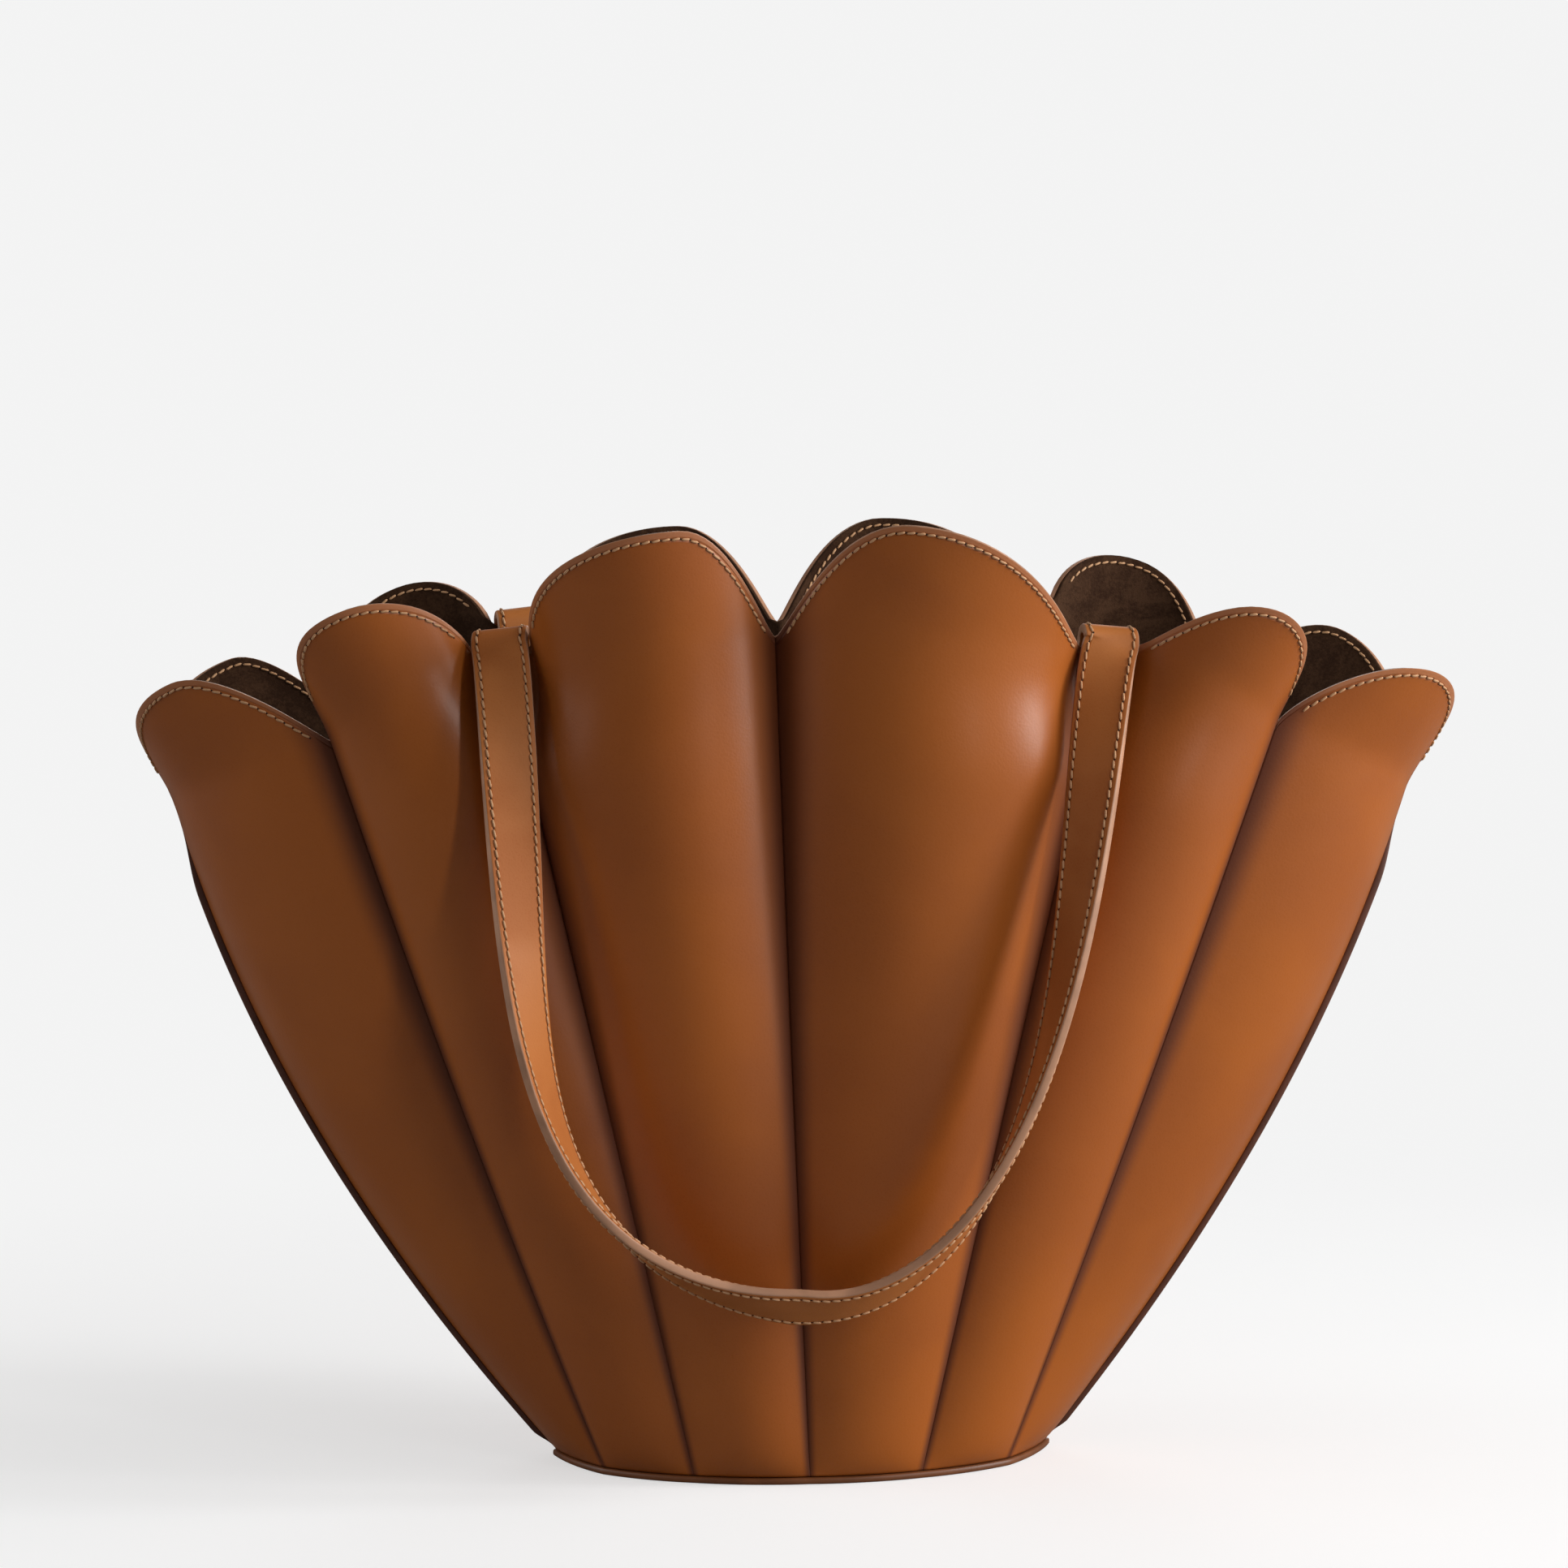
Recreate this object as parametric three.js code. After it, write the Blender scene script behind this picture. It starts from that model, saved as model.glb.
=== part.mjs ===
// An open-top leather tote bag whose wall is twelve fluted petals round an oval base.
// Millimetres, +Z up. The front faces -Y, and the origin is the centre of the underside of the base.

import * as THREE from 'three'

// Driving dimensions

const mouthWidth = 411 // between the tops of the two side seams
const mouthDepth = 146 // between the tops of the front and back middle seams
const valleyHeight = 277 // top of a middle seam above the ground
const lobeHeight = 35 // rise of a petal's lobe above the tops of its seams
const lobeSpread = 0.62 // how much faster the lobes spread outwards than the seams below them
const lobeBend = 0.03 // share of the height over which they take that up
const baseWidth = 166
const baseDepth = 107
const leather = 1.8 // thickness of the outer leather
const suede = 1.0 // thickness of the lining
const fit = 0.3 // clearance between pieces that lie on each other
const pipingHeight = 2.3
const pipingWidth = 3.4
const pipingProud = 0.8 // how far the piping stands out beyond the foot of the petals
const pillowHeight = 4.7 // a petal puffs out over about three times this height above the piping
const pillowFoot = 0.1 // roundness of a petal's foot, as a share of half its chord
const fullness = 1.2 // how late the petals fill out on their way up: evenly at 1
const sideSeamProud = 2.0
const sideSeamWidth = 3.0
const sideSeamTip = 5 // length of the narrowing tip at each end of a side seam
const sideSeamFrom = 0.005 // the side seams run between these shares of their height
const sideSeamTo = 0.97
const sideSeamPoint = 0.3 // size of the section at the tips, as a share of the whole one
const strapWidth = 18
const strapThickness = 3
const strapDrop = 211 // from the fold over the rim to the middle of the hanging loop
const strapTab = 24 // length of the sewn end inside the bag
const strapStandOff = 17 // how far the loop hangs out from its folds
// How far a leg leans inwards, as a share of half the loop's width, how early it curves into the loop, and
// how late it takes up the twist: evenly at 1.
const strapLeft = { lean: 0.086, bend: 0.38, twist: 1.2 }
const strapRight = { lean: 0.236, bend: 0.55, twist: 0.8 }
const strapLean = 0.7 // how soon the legs take up their lean: evenly at 1
const strapSettle = 6 // how soon below its folds the loop reaches its stand-off
const strapTwist = 132 // degrees that the strap turns on itself by the middle of the loop
const foldTilt = 0.1 // slope of the folds, whose outer ends lie lower
const notchClearance = 0.7 // between a strap's edge and the lobe beside it
const seatHeight = 46 // height of the flat seat of a strap, below the rim
const seatFull = 7 // the seat is as wide as the strap over this height

const floor = pipingHeight + fit // the foot of the petals stands this high
const wall = leather + fit + suede
const mitre = 0.45 // least cosine at which a wall's end is mitred in full, where two petals meet

// Seams, in order round the bag: the left side, the front from left to right, the right side and the
// back from right to left. foot and top are shares of half the base's and half the mouth's width,
// height is a share of valleyHeight, bow is how far the seam curves outwards, side is -1 on the front.
const seams = [
  { foot: -1.0, top: -1.0, height: 0.798, bow: 0.53, side: -1 },
  { foot: -0.81, top: -0.738, height: 0.883, bow: 0.1, side: -1 },
  { foot: -0.459, top: -0.47, height: 0.99, bow: 0.0, side: -1, seat: true },
  { foot: -0.005, top: -0.046, height: 1.0, bow: 0.15, side: -1 },
  { foot: 0.444, top: 0.48, height: 0.983, bow: 0.0, side: -1, seat: true },
  { foot: 0.805, top: 0.752, height: 0.885, bow: 0.05, side: -1 },
  { foot: 1.0, top: 1.0, height: 0.793, bow: 0.45, side: 1 },
  { foot: 0.8, top: 0.725, height: 0.92, bow: 0.1, side: 1 },
  { foot: 0.45, top: 0.4, height: 1.004, bow: 0.0, side: 1, seat: true },
  { foot: 0.0, top: -0.006, height: 1.0, bow: 0.0, side: 1 },
  { foot: -0.45, top: -0.44, height: 1.0, bow: 0.0, side: 1, seat: true },
  { foot: -0.8, top: -0.72, height: 0.885, bow: 0.1, side: 1 },
]

// Petals, petal i lying between seams i and i + 1. Each roundness is the bulge of the cross section as
// a share of half its chord, above the piping and at the seams' tops, and flare is how fast it grows
// over the lobe. rise is a share of lobeHeight and peak is where the lobe is highest, as a share of its rim.
// start and end are how the rim climbs from each seam: steeply below 1, gently above 1.
const petals = [
  { name: 'front_petal_1', low: 0.22, high: 0.42, flare: 1.2, rise: 0.82, peak: 0.58, start: 0.4, end: 1.1 },
  { name: 'front_petal_2', low: 0.3, high: 0.68, flare: 2.4, rise: 0.84, peak: 0.38, start: 0.5, end: 0.8 },
  { name: 'front_petal_3', low: 0.3, high: 0.6, flare: 0.6, rise: 1.01, peak: 0.65, start: 0.62, end: 1.3 },
  { name: 'front_petal_4', low: 0.28, high: 0.52, flare: 0.5, rise: 1.06, peak: 0.38, start: 1.2, end: 1.2 },
  { name: 'front_petal_5', low: 0.3, high: 0.68, flare: 2, rise: 0.76, peak: 0.58, start: 1.4, end: 0.6 },
  { name: 'front_petal_6', low: 0.22, high: 0.42, flare: 1.2, rise: 0.81, peak: 0.52, start: 0.7, end: 0.5 },
  { name: 'back_petal_6', low: 0.22, high: 0.42, flare: 1.2, rise: 0.79, peak: 0.66, start: 1.3, end: 0.8 },
  { name: 'back_petal_5', low: 0.3, high: 0.62, flare: 0.8, rise: 0.77, peak: 0.58, start: 1.4, end: 0.4 },
  { name: 'back_petal_4', low: 0.28, high: 0.55, flare: 0.5, rise: 1, peak: 0.54, start: 0.45, end: 1.2 },
  { name: 'back_petal_3', low: 0.28, high: 0.55, flare: 0.5, rise: 0.96, peak: 0.38, start: 1.2, end: 0.7 },
  { name: 'back_petal_2', low: 0.3, high: 0.62, flare: 0.8, rise: 0.79, peak: 0.56, start: 0.6, end: 0.7 },
  { name: 'back_petal_1', low: 0.22, high: 0.42, flare: 1.2, rise: 0.81, peak: 0.3, start: 1, end: 0.8 },
]

// Fineness of the faceted walls

const columns = 10 // across a petal
const columnDraw = 0.07 // how far the columns are drawn towards the seams
const rows = [0, 0.03, 0.12, 0.34, 0.58, 0.78, 0.9, 0.96, 1] // up a petal, as shares of its height
const footSteps = 4 // points of the base's outline along one petal
const strapSteps = 44
const foldSteps = 6
const sideSeamSteps = 10
const nudge = 0.002 // share by which slopes are measured

// Materials

const tanLeather = new THREE.MeshStandardMaterial({ color: 0x9a5526, roughness: 0.42, metalness: 0 })
const strapLeather = new THREE.MeshStandardMaterial({ color: 0xa36a42, roughness: 0.55, metalness: 0 })
const edgeLeather = new THREE.MeshStandardMaterial({ color: 0x4a2414, roughness: 0.5, metalness: 0 })
const brownSuede = new THREE.MeshStandardMaterial({ color: 0x352116, roughness: 0.95, metalness: 0 })

// Seams

const next = (index) => (index + 1) % seams.length
const before = (index) => (index + seams.length - 1) % seams.length

// A point of an oval at a share of its half width, on the front or the back.
function ovalPoint(share, side, width, depth) {
  const across = Math.sqrt(Math.max(0, 1 - share * share))
  return new THREE.Vector2((share * width) / 2, (side * across * depth) / 2)
}

// The seam at height share v: 0 at the foot, 1 at its top, and straight on above it.
function seamPoint(index, v) {
  const seam = seams[index]
  const foot = ovalPoint(seam.foot, seam.side, baseWidth, baseDepth)
  const top = ovalPoint(seam.top, seam.side, mouthWidth, mouthDepth)
  const above = Math.max(0, v - 1)
  const out = v < 1 ? v * (1 + seam.bow * (1 - v)) : 1 + (1 - seam.bow) * above
  const plan = foot.lerp(top, out + (lobeSpread * above * above) / (above + lobeBend))
  return new THREE.Vector3(plan.x, plan.y, floor + v * (seam.height * valleyHeight - floor))
}

// The outward horizontal direction square to the chord of petal i.
function chordNormal(index, v) {
  const chord = seamPoint(next(index), v).sub(seamPoint(index, v))
  return new THREE.Vector3(chord.y, -chord.x, 0).normalize()
}

// Outwards along the plane in which two petals meet, and along the wall from one to the other.
function seamFrame(index, v) {
  const out = chordNormal(before(index), v).add(chordNormal(index, v)).normalize()
  return { point: seamPoint(index, v), out, along: new THREE.Vector3(-out.y, out.x, 0) }
}

// Petals

// Half the flat seat of a strap beside its seam: full at the rim and closed lower down.
function seatLength(index, v) {
  if (!seams[index].seat) {
    return 0
  }
  const full = strapWidth / 2 + notchClearance
  const below = (1 - v) * (seams[index].height * valleyHeight)
  return full * (1 - THREE.MathUtils.smoothstep(below, seatFull, seatHeight))
}

// Bulge of the cross section as a share of half its chord.
function roundness(petal, v) {
  const puffed = 1 - Math.exp((-v * valleyHeight) / pillowHeight)
  const filling = (petal.high - petal.low) * Math.pow(Math.min(v, 1), fullness)
  return pillowFoot + (petal.low - pillowFoot) * puffed + filling + petal.flare * Math.max(0, v - 1)
}

// The cross section of petal i at height share v: a flat seat, an arc and a flat seat.
function crossSection(index, v) {
  const start = seamPoint(index, v)
  const end = seamPoint(next(index), v)
  const chord = Math.hypot(end.x - start.x, end.y - start.y)
  const flatStart = seatLength(index, v)
  const flatEnd = seatLength(next(index), v)
  const half = (chord - flatStart - flatEnd) / 2
  const angle = 2 * Math.atan(roundness(petals[index], v))
  const radius = half / Math.sin(angle)
  const length = flatStart + 2 * angle * radius + flatEnd
  return { start, end, chord, flatStart, flatEnd, half, angle, radius, length }
}

// The outer face of petal i at share u across and height share v.
function outerFace(index, u, v) {
  const { start, end, chord, flatStart, flatEnd, half, angle, radius, length } = crossSection(index, v)
  const reach = u * length
  const turn = THREE.MathUtils.clamp((reach - flatStart) / radius - angle, -angle, angle)
  const bulge = radius * (Math.cos(turn) - Math.cos(angle))
  const climb = (1 + Math.sin(turn) / Math.sin(angle)) / 2
  let along = flatStart + 2 * half * climb
  if (reach < flatStart) {
    along = reach
  } else if (reach > length - flatEnd) {
    along = chord - (length - reach)
  }
  const height = THREE.MathUtils.lerp(start.z, end.z, climb)
  return start.lerp(end, along / chord).setZ(height).addScaledVector(chordNormal(index, v), bulge)
}

// Height share of the rim at share u across: 1 at the seams and in a strap's notch, more over the lobe.
function rimShare(index, u) {
  const petal = petals[index]
  const { start, end, flatStart, flatEnd, length } = crossSection(index, 1)
  const from = flatStart / length
  const inside = THREE.MathUtils.clamp((u - from) / (1 - from - flatEnd / length), 0, 1)
  const climbing = inside < petal.peak
  const climb = climbing ? inside / petal.peak : (1 - inside) / (1 - petal.peak)
  const steepness = climbing ? petal.start : petal.end
  const rise = petal.rise * lobeHeight * Math.pow(Math.sin((Math.PI / 2) * climb), steepness)
  return 1 + rise / ((start.z + end.z) / 2)
}

// The outer face at share u across and share w of the way from the foot to the rim.
function petalPoint(index, u, w) {
  return outerFace(index, u, w * rimShare(index, u))
}

function faceNormal(index, u, w) {
  const sides = [Math.max(0, u - nudge), Math.min(1, u + nudge)].map((share) => petalPoint(index, share, w))
  const ends = [Math.max(0, w - nudge), Math.min(1, w + nudge)].map((share) => petalPoint(index, u, share))
  const across = sides[1].sub(sides[0])
  const up = ends[1].sub(ends[0])
  return across.cross(up).normalize()
}

// A point of the wall set in by a depth square to its outer face, kept at its height. Where two petals
// meet, both walls end on the plane between them, with the clearance shared.
function wallPoint(index, u, w, depth) {
  const point = petalPoint(index, u, w)
  const normal = faceNormal(index, u, w)
  if (u > 0 && u < 1) {
    const inward = new THREE.Vector3(-normal.x, -normal.y, 0).normalize()
    return point.addScaledVector(inward, depth / -normal.dot(inward))
  }
  const frame = seamFrame(u === 0 ? index : next(index), w)
  point.addScaledVector(frame.along, (u === 0 ? fit : -fit) / 2)
  return point.addScaledVector(frame.out, -depth / Math.max(normal.dot(frame.out), mitre))
}

// A closed shell between two grids of points that run across and up in the same order.
function shellGeometry(outer, inner, across, up) {
  const points = [...outer, ...inner]
  const faces = []
  const at = (column, row, side) => side * outer.length + row * (across + 1) + column
  const quad = (a, b, c, d) => faces.push(a, b, c, a, c, d)
  for (let row = 0; row < up; row += 1) {
    for (let column = 0; column < across; column += 1) {
      quad(at(column, row, 0), at(column + 1, row, 0), at(column + 1, row + 1, 0), at(column, row + 1, 0))
      quad(at(column, row, 1), at(column, row + 1, 1), at(column + 1, row + 1, 1), at(column + 1, row, 1))
    }
    quad(at(0, row, 1), at(0, row, 0), at(0, row + 1, 0), at(0, row + 1, 1))
    quad(at(across, row, 0), at(across, row, 1), at(across, row + 1, 1), at(across, row + 1, 0))
  }
  for (let column = 0; column < across; column += 1) {
    quad(at(column, 0, 1), at(column + 1, 0, 1), at(column + 1, 0, 0), at(column, 0, 0))
    quad(at(column, up, 0), at(column + 1, up, 0), at(column + 1, up, 1), at(column, up, 1))
  }
  return geometryOf(points, faces)
}

function geometryOf(points, faces) {
  const geometry = new THREE.BufferGeometry().setFromPoints(points)
  geometry.setIndex(faces)
  geometry.computeVertexNormals()
  return geometry
}

// The places of the grid's columns across petal i, one of them on the edge of each strap's seat.
function columnShares(index) {
  const { flatStart, flatEnd, length } = crossSection(index, 1)
  const from = flatStart / length
  const to = 1 - flatEnd / length
  const inner = columns - (from > 0 ? 1 : 0) - (to < 1 ? 1 : 0)
  const shares = Array.from({ length: inner + 1 }, (_, step) => {
    const share = step / inner - columnDraw * Math.sin((2 * Math.PI * step) / inner)
    return from + (to - from) * share
  })
  return [...(from > 0 ? [0] : []), ...shares, ...(to < 1 ? [1] : [])]
}

function petalLayer(index, outside, inside) {
  const outer = []
  const inner = []
  for (const w of rows) {
    for (const u of columnShares(index)) {
      outer.push(wallPoint(index, u, w, outside))
      inner.push(wallPoint(index, u, w, inside))
    }
  }
  return shellGeometry(outer, inner, columns, rows.length - 1)
}

// Base

// The outline of the petals' feet, set in by a depth, as one loop of points in plan.
function footOutline(inset) {
  const outline = []
  for (let index = 0; index < petals.length; index += 1) {
    for (let step = 0; step < footSteps; step += 1) {
      const u = step / footSteps
      const point = petalPoint(index, u, 0)
      const out = u === 0 ? seamFrame(index, 0).out : outlineNormal(index, u)
      outline.push(new THREE.Vector2(point.x - out.x * inset, point.y - out.y * inset))
    }
  }
  return outline
}

function outlineNormal(index, u) {
  const across = petalPoint(index, u + nudge, 0).sub(petalPoint(index, u - nudge, 0))
  return new THREE.Vector3(across.y, -across.x, 0).normalize()
}

function slab(outline, hole, from, height) {
  const shape = new THREE.Shape(outline)
  if (hole) {
    shape.holes.push(new THREE.Path(hole))
  }
  const geometry = new THREE.ExtrudeGeometry(shape, { depth: height, bevelEnabled: false })
  geometry.translate(0, 0, from)
  return geometry
}

// A bar of four-sided sections, each given as four points in the same turn.
function barGeometry(sections) {
  const points = sections.flat()
  const faces = [0, 1, 2, 0, 2, 3]
  for (let index = 0; index + 1 < sections.length; index += 1) {
    for (let corner = 0; corner < 4; corner += 1) {
      const a = index * 4 + corner
      const b = index * 4 + ((corner + 1) % 4)
      faces.push(a, a + 4, b + 4, a, b + 4, b)
    }
  }
  const last = points.length - 4
  faces.push(last, last + 2, last + 1, last, last + 3, last + 2)
  return geometryOf(points, faces)
}

// Side seams

function sideSeamSection(index, v, size) {
  const frame = seamFrame(index, v)
  const half = (sideSeamWidth / 2) * size
  const near = frame.point.clone().addScaledVector(frame.out, fit)
  const far = near.clone().addScaledVector(frame.out, sideSeamProud * size)
  return [
    near.clone().addScaledVector(frame.along, half),
    far.clone().addScaledVector(frame.along, half),
    far.clone().addScaledVector(frame.along, -half),
    near.clone().addScaledVector(frame.along, -half),
  ]
}

function sideSeam(index) {
  const tip = sideSeamTip / (seams[index].height * valleyHeight)
  const from = sideSeamFrom + tip
  const to = sideSeamTo - tip
  const middle = Array.from({ length: sideSeamSteps + 1 }, (_, step) => step / sideSeamSteps)
  const shares = [sideSeamFrom, ...middle.map((share) => from + (to - from) * share), sideSeamTo]
  const sections = shares.map((v, place) => {
    const size = place === 0 || place === shares.length - 1 ? sideSeamPoint : 1
    return sideSeamSection(index, v, size)
  })
  return barGeometry(sections)
}

// Handles

// The strap's path in stations of a place and the direction of its width. It starts on the tab inside
// the left seat, folds over the rim, hangs in a loop and ends on the tab inside the right seat. The
// back handle is worked out as a front one, with its y turned round.
class HangingLoop extends THREE.Curve {
  constructor(left, right) {
    super()
    this.left = left
    this.right = right
  }

  getPoint(t) {
    const turn = Math.PI * t
    const leg = t < 0.5 ? strapLeft : strapRight
    const drop = Math.pow(Math.sin(turn), leg.bend)
    const across = -Math.cos(turn) * (1 - leg.lean * Math.pow(drop, strapLean))
    const middle = this.left.clone().lerp(this.right, (across + 1) / 2)
    middle.y -= strapStandOff * (1 - Math.exp(-drop * strapSettle))
    middle.z -= strapDrop * drop
    return middle
  }
}

// The seat of a strap at share v of its seam's height, turned so that outwards is -Y, and how far its two
// halves fall back beside the seam under the strap's width.
function strapSeat(index, v, facing) {
  const flip = (vector) => new THREE.Vector3(vector.x, vector.y * -facing, vector.z)
  const { point, out } = seamFrame(index, v)
  const turned = [before(index), index].map((petal) => chordNormal(petal, v).cross(out).length())
  return { point: flip(point), out: flip(out), fallBack: (Math.max(...turned) * strapWidth) / 2 }
}

// A fold over the rim, from the end of the tab to the outside. side is -1 at the left end of a strap.
function foldStations(index, side, facing) {
  const seat = strapSeat(index, 1, facing)
  const reach = fit + strapThickness / 2
  const inside = wall + reach + seat.fallBack
  const radius = (reach + inside) / 2
  const width = new THREE.Vector3(-side * seat.out.y, side * seat.out.x, -foldTilt).normalize()
  const stations = []
  for (const down of [strapTab, strapTab / 2]) {
    const { point, out } = strapSeat(index, 1 - down / seat.point.z, facing)
    stations.push({ point: point.addScaledVector(out, -inside), width })
  }
  for (let step = 0; step <= foldSteps; step += 1) {
    const turn = (Math.PI * step) / foldSteps
    const point = seat.point.clone().addScaledVector(seat.out, reach - radius - radius * Math.cos(turn))
    point.z += fit + (foldTilt * strapWidth) / 2 + radius * Math.sin(turn)
    stations.push({ point, width })
  }
  return stations
}

function strapGeometry(leftSeam, rightSeam, facing) {
  const start = foldStations(leftSeam, -1, facing)
  const end = foldStations(rightSeam, 1, facing).reverse()
  const loop = new HangingLoop(start[start.length - 1].point, end[0].point)
  const stations = [...start]
  const places = loop.getSpacedPoints(strapSteps)
  places.slice(1, -1).forEach((point, place) => {
    const t = (place + 1) / strapSteps
    const tangent = places[place + 2].clone().sub(places[place]).normalize()
    const outward = new THREE.Vector3(0, 1, 0).cross(tangent).normalize()
    const front = outward.clone().cross(tangent)
    const leg = t < 0.5 ? strapLeft : strapRight
    const twist = THREE.MathUtils.degToRad(strapTwist) * Math.pow(1 - Math.abs(2 * t - 1), leg.twist)
    const width = outward.multiplyScalar(Math.cos(twist)).addScaledVector(front, Math.sin(twist))
    stations.push({ point, width })
  })
  stations.push(...end)
  return barGeometry(stations.map((station, place) => strapSection(stations, place, facing)))
}

function strapSection(stations, place, facing) {
  const { point, width } = stations[place]
  const from = stations[Math.max(0, place - 1)].point
  const to = stations[Math.min(stations.length - 1, place + 1)].point
  const along = to.clone().sub(from).normalize()
  const face = width.clone().cross(along).normalize()
  const side = along.clone().cross(face)
  const corners = [[-1, -1], [-1, 1], [1, 1], [1, -1]].map(([across, deep]) => point
    .clone()
    .addScaledVector(side, (across * strapWidth) / 2)
    .addScaledVector(face, (deep * strapThickness) / 2))
  corners.forEach((corner) => corner.setY(corner.y * -facing))
  return facing < 0 ? corners.reverse() : corners
}

// Assembly

const bag = new THREE.Group()

function add(name, geometry, material) {
  const mesh = new THREE.Mesh(geometry, material)
  mesh.name = name
  bag.add(mesh)
}

petals.forEach((petal, index) => {
  add(petal.name, petalLayer(index, 0, leather), tanLeather)
  add(petal.name.replace('petal', 'lining'), petalLayer(index, leather + fit, wall), brownSuede)
})
const pipingInset = pipingWidth - pipingProud
add('base_piping', slab(footOutline(-pipingProud), footOutline(pipingInset), 0, pipingHeight), edgeLeather)
add('base_panel', slab(footOutline(pipingInset + fit), null, 0, pipingHeight), tanLeather)
add('base_lining', slab(footOutline(wall * 2 + fit), null, floor, suede), brownSuede)
add('side_seam_left', sideSeam(0), edgeLeather)
add('side_seam_right', sideSeam(6), edgeLeather)
add('front_handle', strapGeometry(2, 4, -1), strapLeather)
add('back_handle', strapGeometry(10, 8, 1), strapLeather)

export default bag
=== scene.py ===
"""Looks of a leather tote bag whose wall is twelve fluted petals, laid out as a Blender add-on.

Everything is in metres, +Z up, with the front towards -Y.
"""

import math

import bmesh
import bpy
import numpy as np
from mathutils import Matrix, Vector


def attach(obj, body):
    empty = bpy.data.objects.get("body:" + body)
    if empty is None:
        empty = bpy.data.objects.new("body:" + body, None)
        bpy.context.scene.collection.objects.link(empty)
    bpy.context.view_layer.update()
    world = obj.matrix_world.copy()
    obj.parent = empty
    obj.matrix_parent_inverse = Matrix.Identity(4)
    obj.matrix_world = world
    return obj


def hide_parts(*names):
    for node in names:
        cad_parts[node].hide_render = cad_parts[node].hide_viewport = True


bl_info = {
    "name": "Fluted tote bag",
    "version": (1, 0, 0),
    "blender": (4, 5, 0),
    "location": "3D View > Sidebar > Tote",
    "description": "Builds the petals, linings, handles, seams, stitches and stage of a leather tote bag",
    "category": "Object",
}

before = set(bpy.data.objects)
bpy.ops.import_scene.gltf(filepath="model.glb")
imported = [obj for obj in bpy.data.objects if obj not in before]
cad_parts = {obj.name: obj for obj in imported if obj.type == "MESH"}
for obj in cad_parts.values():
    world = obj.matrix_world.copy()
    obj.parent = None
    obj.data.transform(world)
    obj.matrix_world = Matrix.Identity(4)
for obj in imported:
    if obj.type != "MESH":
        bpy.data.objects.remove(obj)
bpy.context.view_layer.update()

# Seams in order round the bag: the left side, the front from left to right, the right side and the back
# from right to left. foot and top are shares of half the base's and half the mouth's width, height is a
# share of the valley height, bow is how far the seam curves outwards, side is -1 on the front, and
# seat says whether a strap is seated on the seam.
SEAM_FIELDS = ("foot", "top", "height", "bow", "side", "seat")
SEAM_ROWS = [
    (-1.0, -1.0, 0.798, 0.53, -1, False),
    (-0.81, -0.738, 0.883, 0.1, -1, False),
    (-0.459, -0.47, 0.99, 0.0, -1, True),
    (-0.005, -0.046, 1.0, 0.15, -1, False),
    (0.444, 0.48, 0.983, 0.0, -1, True),
    (0.805, 0.752, 0.885, 0.05, -1, False),
    (1.0, 1.0, 0.793, 0.45, 1, False),
    (0.8, 0.725, 0.92, 0.1, 1, False),
    (0.45, 0.4, 1.004, 0.0, 1, True),
    (0.0, -0.006, 1.0, 0.0, 1, False),
    (-0.45, -0.44, 1.0, 0.0, 1, True),
    (-0.8, -0.72, 0.885, 0.1, 1, False),
]
SEAMS = [dict(zip(SEAM_FIELDS, row)) for row in SEAM_ROWS]

# Petals, petal i lying between seams i and i + 1. low and high are the bulge of the cross section as a
# share of half its chord, near the foot and at the seams' tops, and flare is how fast it grows over the
# lobe. rise is a share of the lobe height and peak is where the lobe is highest. start and end are how
# the rim climbs from each seam: steeply below 1, gently above 1.
PETAL_FIELDS = ("name", "low", "high", "flare", "rise", "peak", "start", "end")
PETAL_ROWS = [
    ("front_petal_1", 0.22, 0.42, 1.2, 0.82, 0.58, 0.4, 1.1),
    ("front_petal_2", 0.3, 0.68, 2.4, 0.84, 0.38, 0.5, 0.8),
    ("front_petal_3", 0.3, 0.6, 0.6, 1.01, 0.65, 0.62, 1.3),
    ("front_petal_4", 0.28, 0.52, 0.5, 1.06, 0.38, 1.2, 1.2),
    ("front_petal_5", 0.3, 0.68, 2.0, 0.76, 0.58, 1.4, 0.6),
    ("front_petal_6", 0.22, 0.42, 1.2, 0.81, 0.52, 0.7, 0.5),
    ("back_petal_6", 0.22, 0.42, 1.2, 0.79, 0.66, 1.3, 0.8),
    ("back_petal_5", 0.3, 0.62, 0.8, 0.77, 0.58, 1.4, 0.4),
    ("back_petal_4", 0.28, 0.55, 0.5, 1.0, 0.54, 0.45, 1.2),
    ("back_petal_3", 0.28, 0.55, 0.5, 0.96, 0.38, 1.2, 0.7),
    ("back_petal_2", 0.3, 0.62, 0.8, 0.79, 0.56, 0.6, 0.7),
    ("back_petal_1", 0.22, 0.42, 1.2, 0.81, 0.3, 1.0, 0.8),
]
PETALS = [dict(zip(PETAL_FIELDS, row)) for row in PETAL_ROWS]

# The two handles, each between a left and a right seam, hanging on the side that they face.
HANDLES = [
    {"name": "front_handle", "left": 2, "right": 4, "facing": -1},
    {"name": "back_handle", "left": 10, "right": 8, "facing": 1},
]

# The strips down the two side seams.
SIDE_SEAMS = {"side_seam_left": 0, "side_seam_right": 6}

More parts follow.
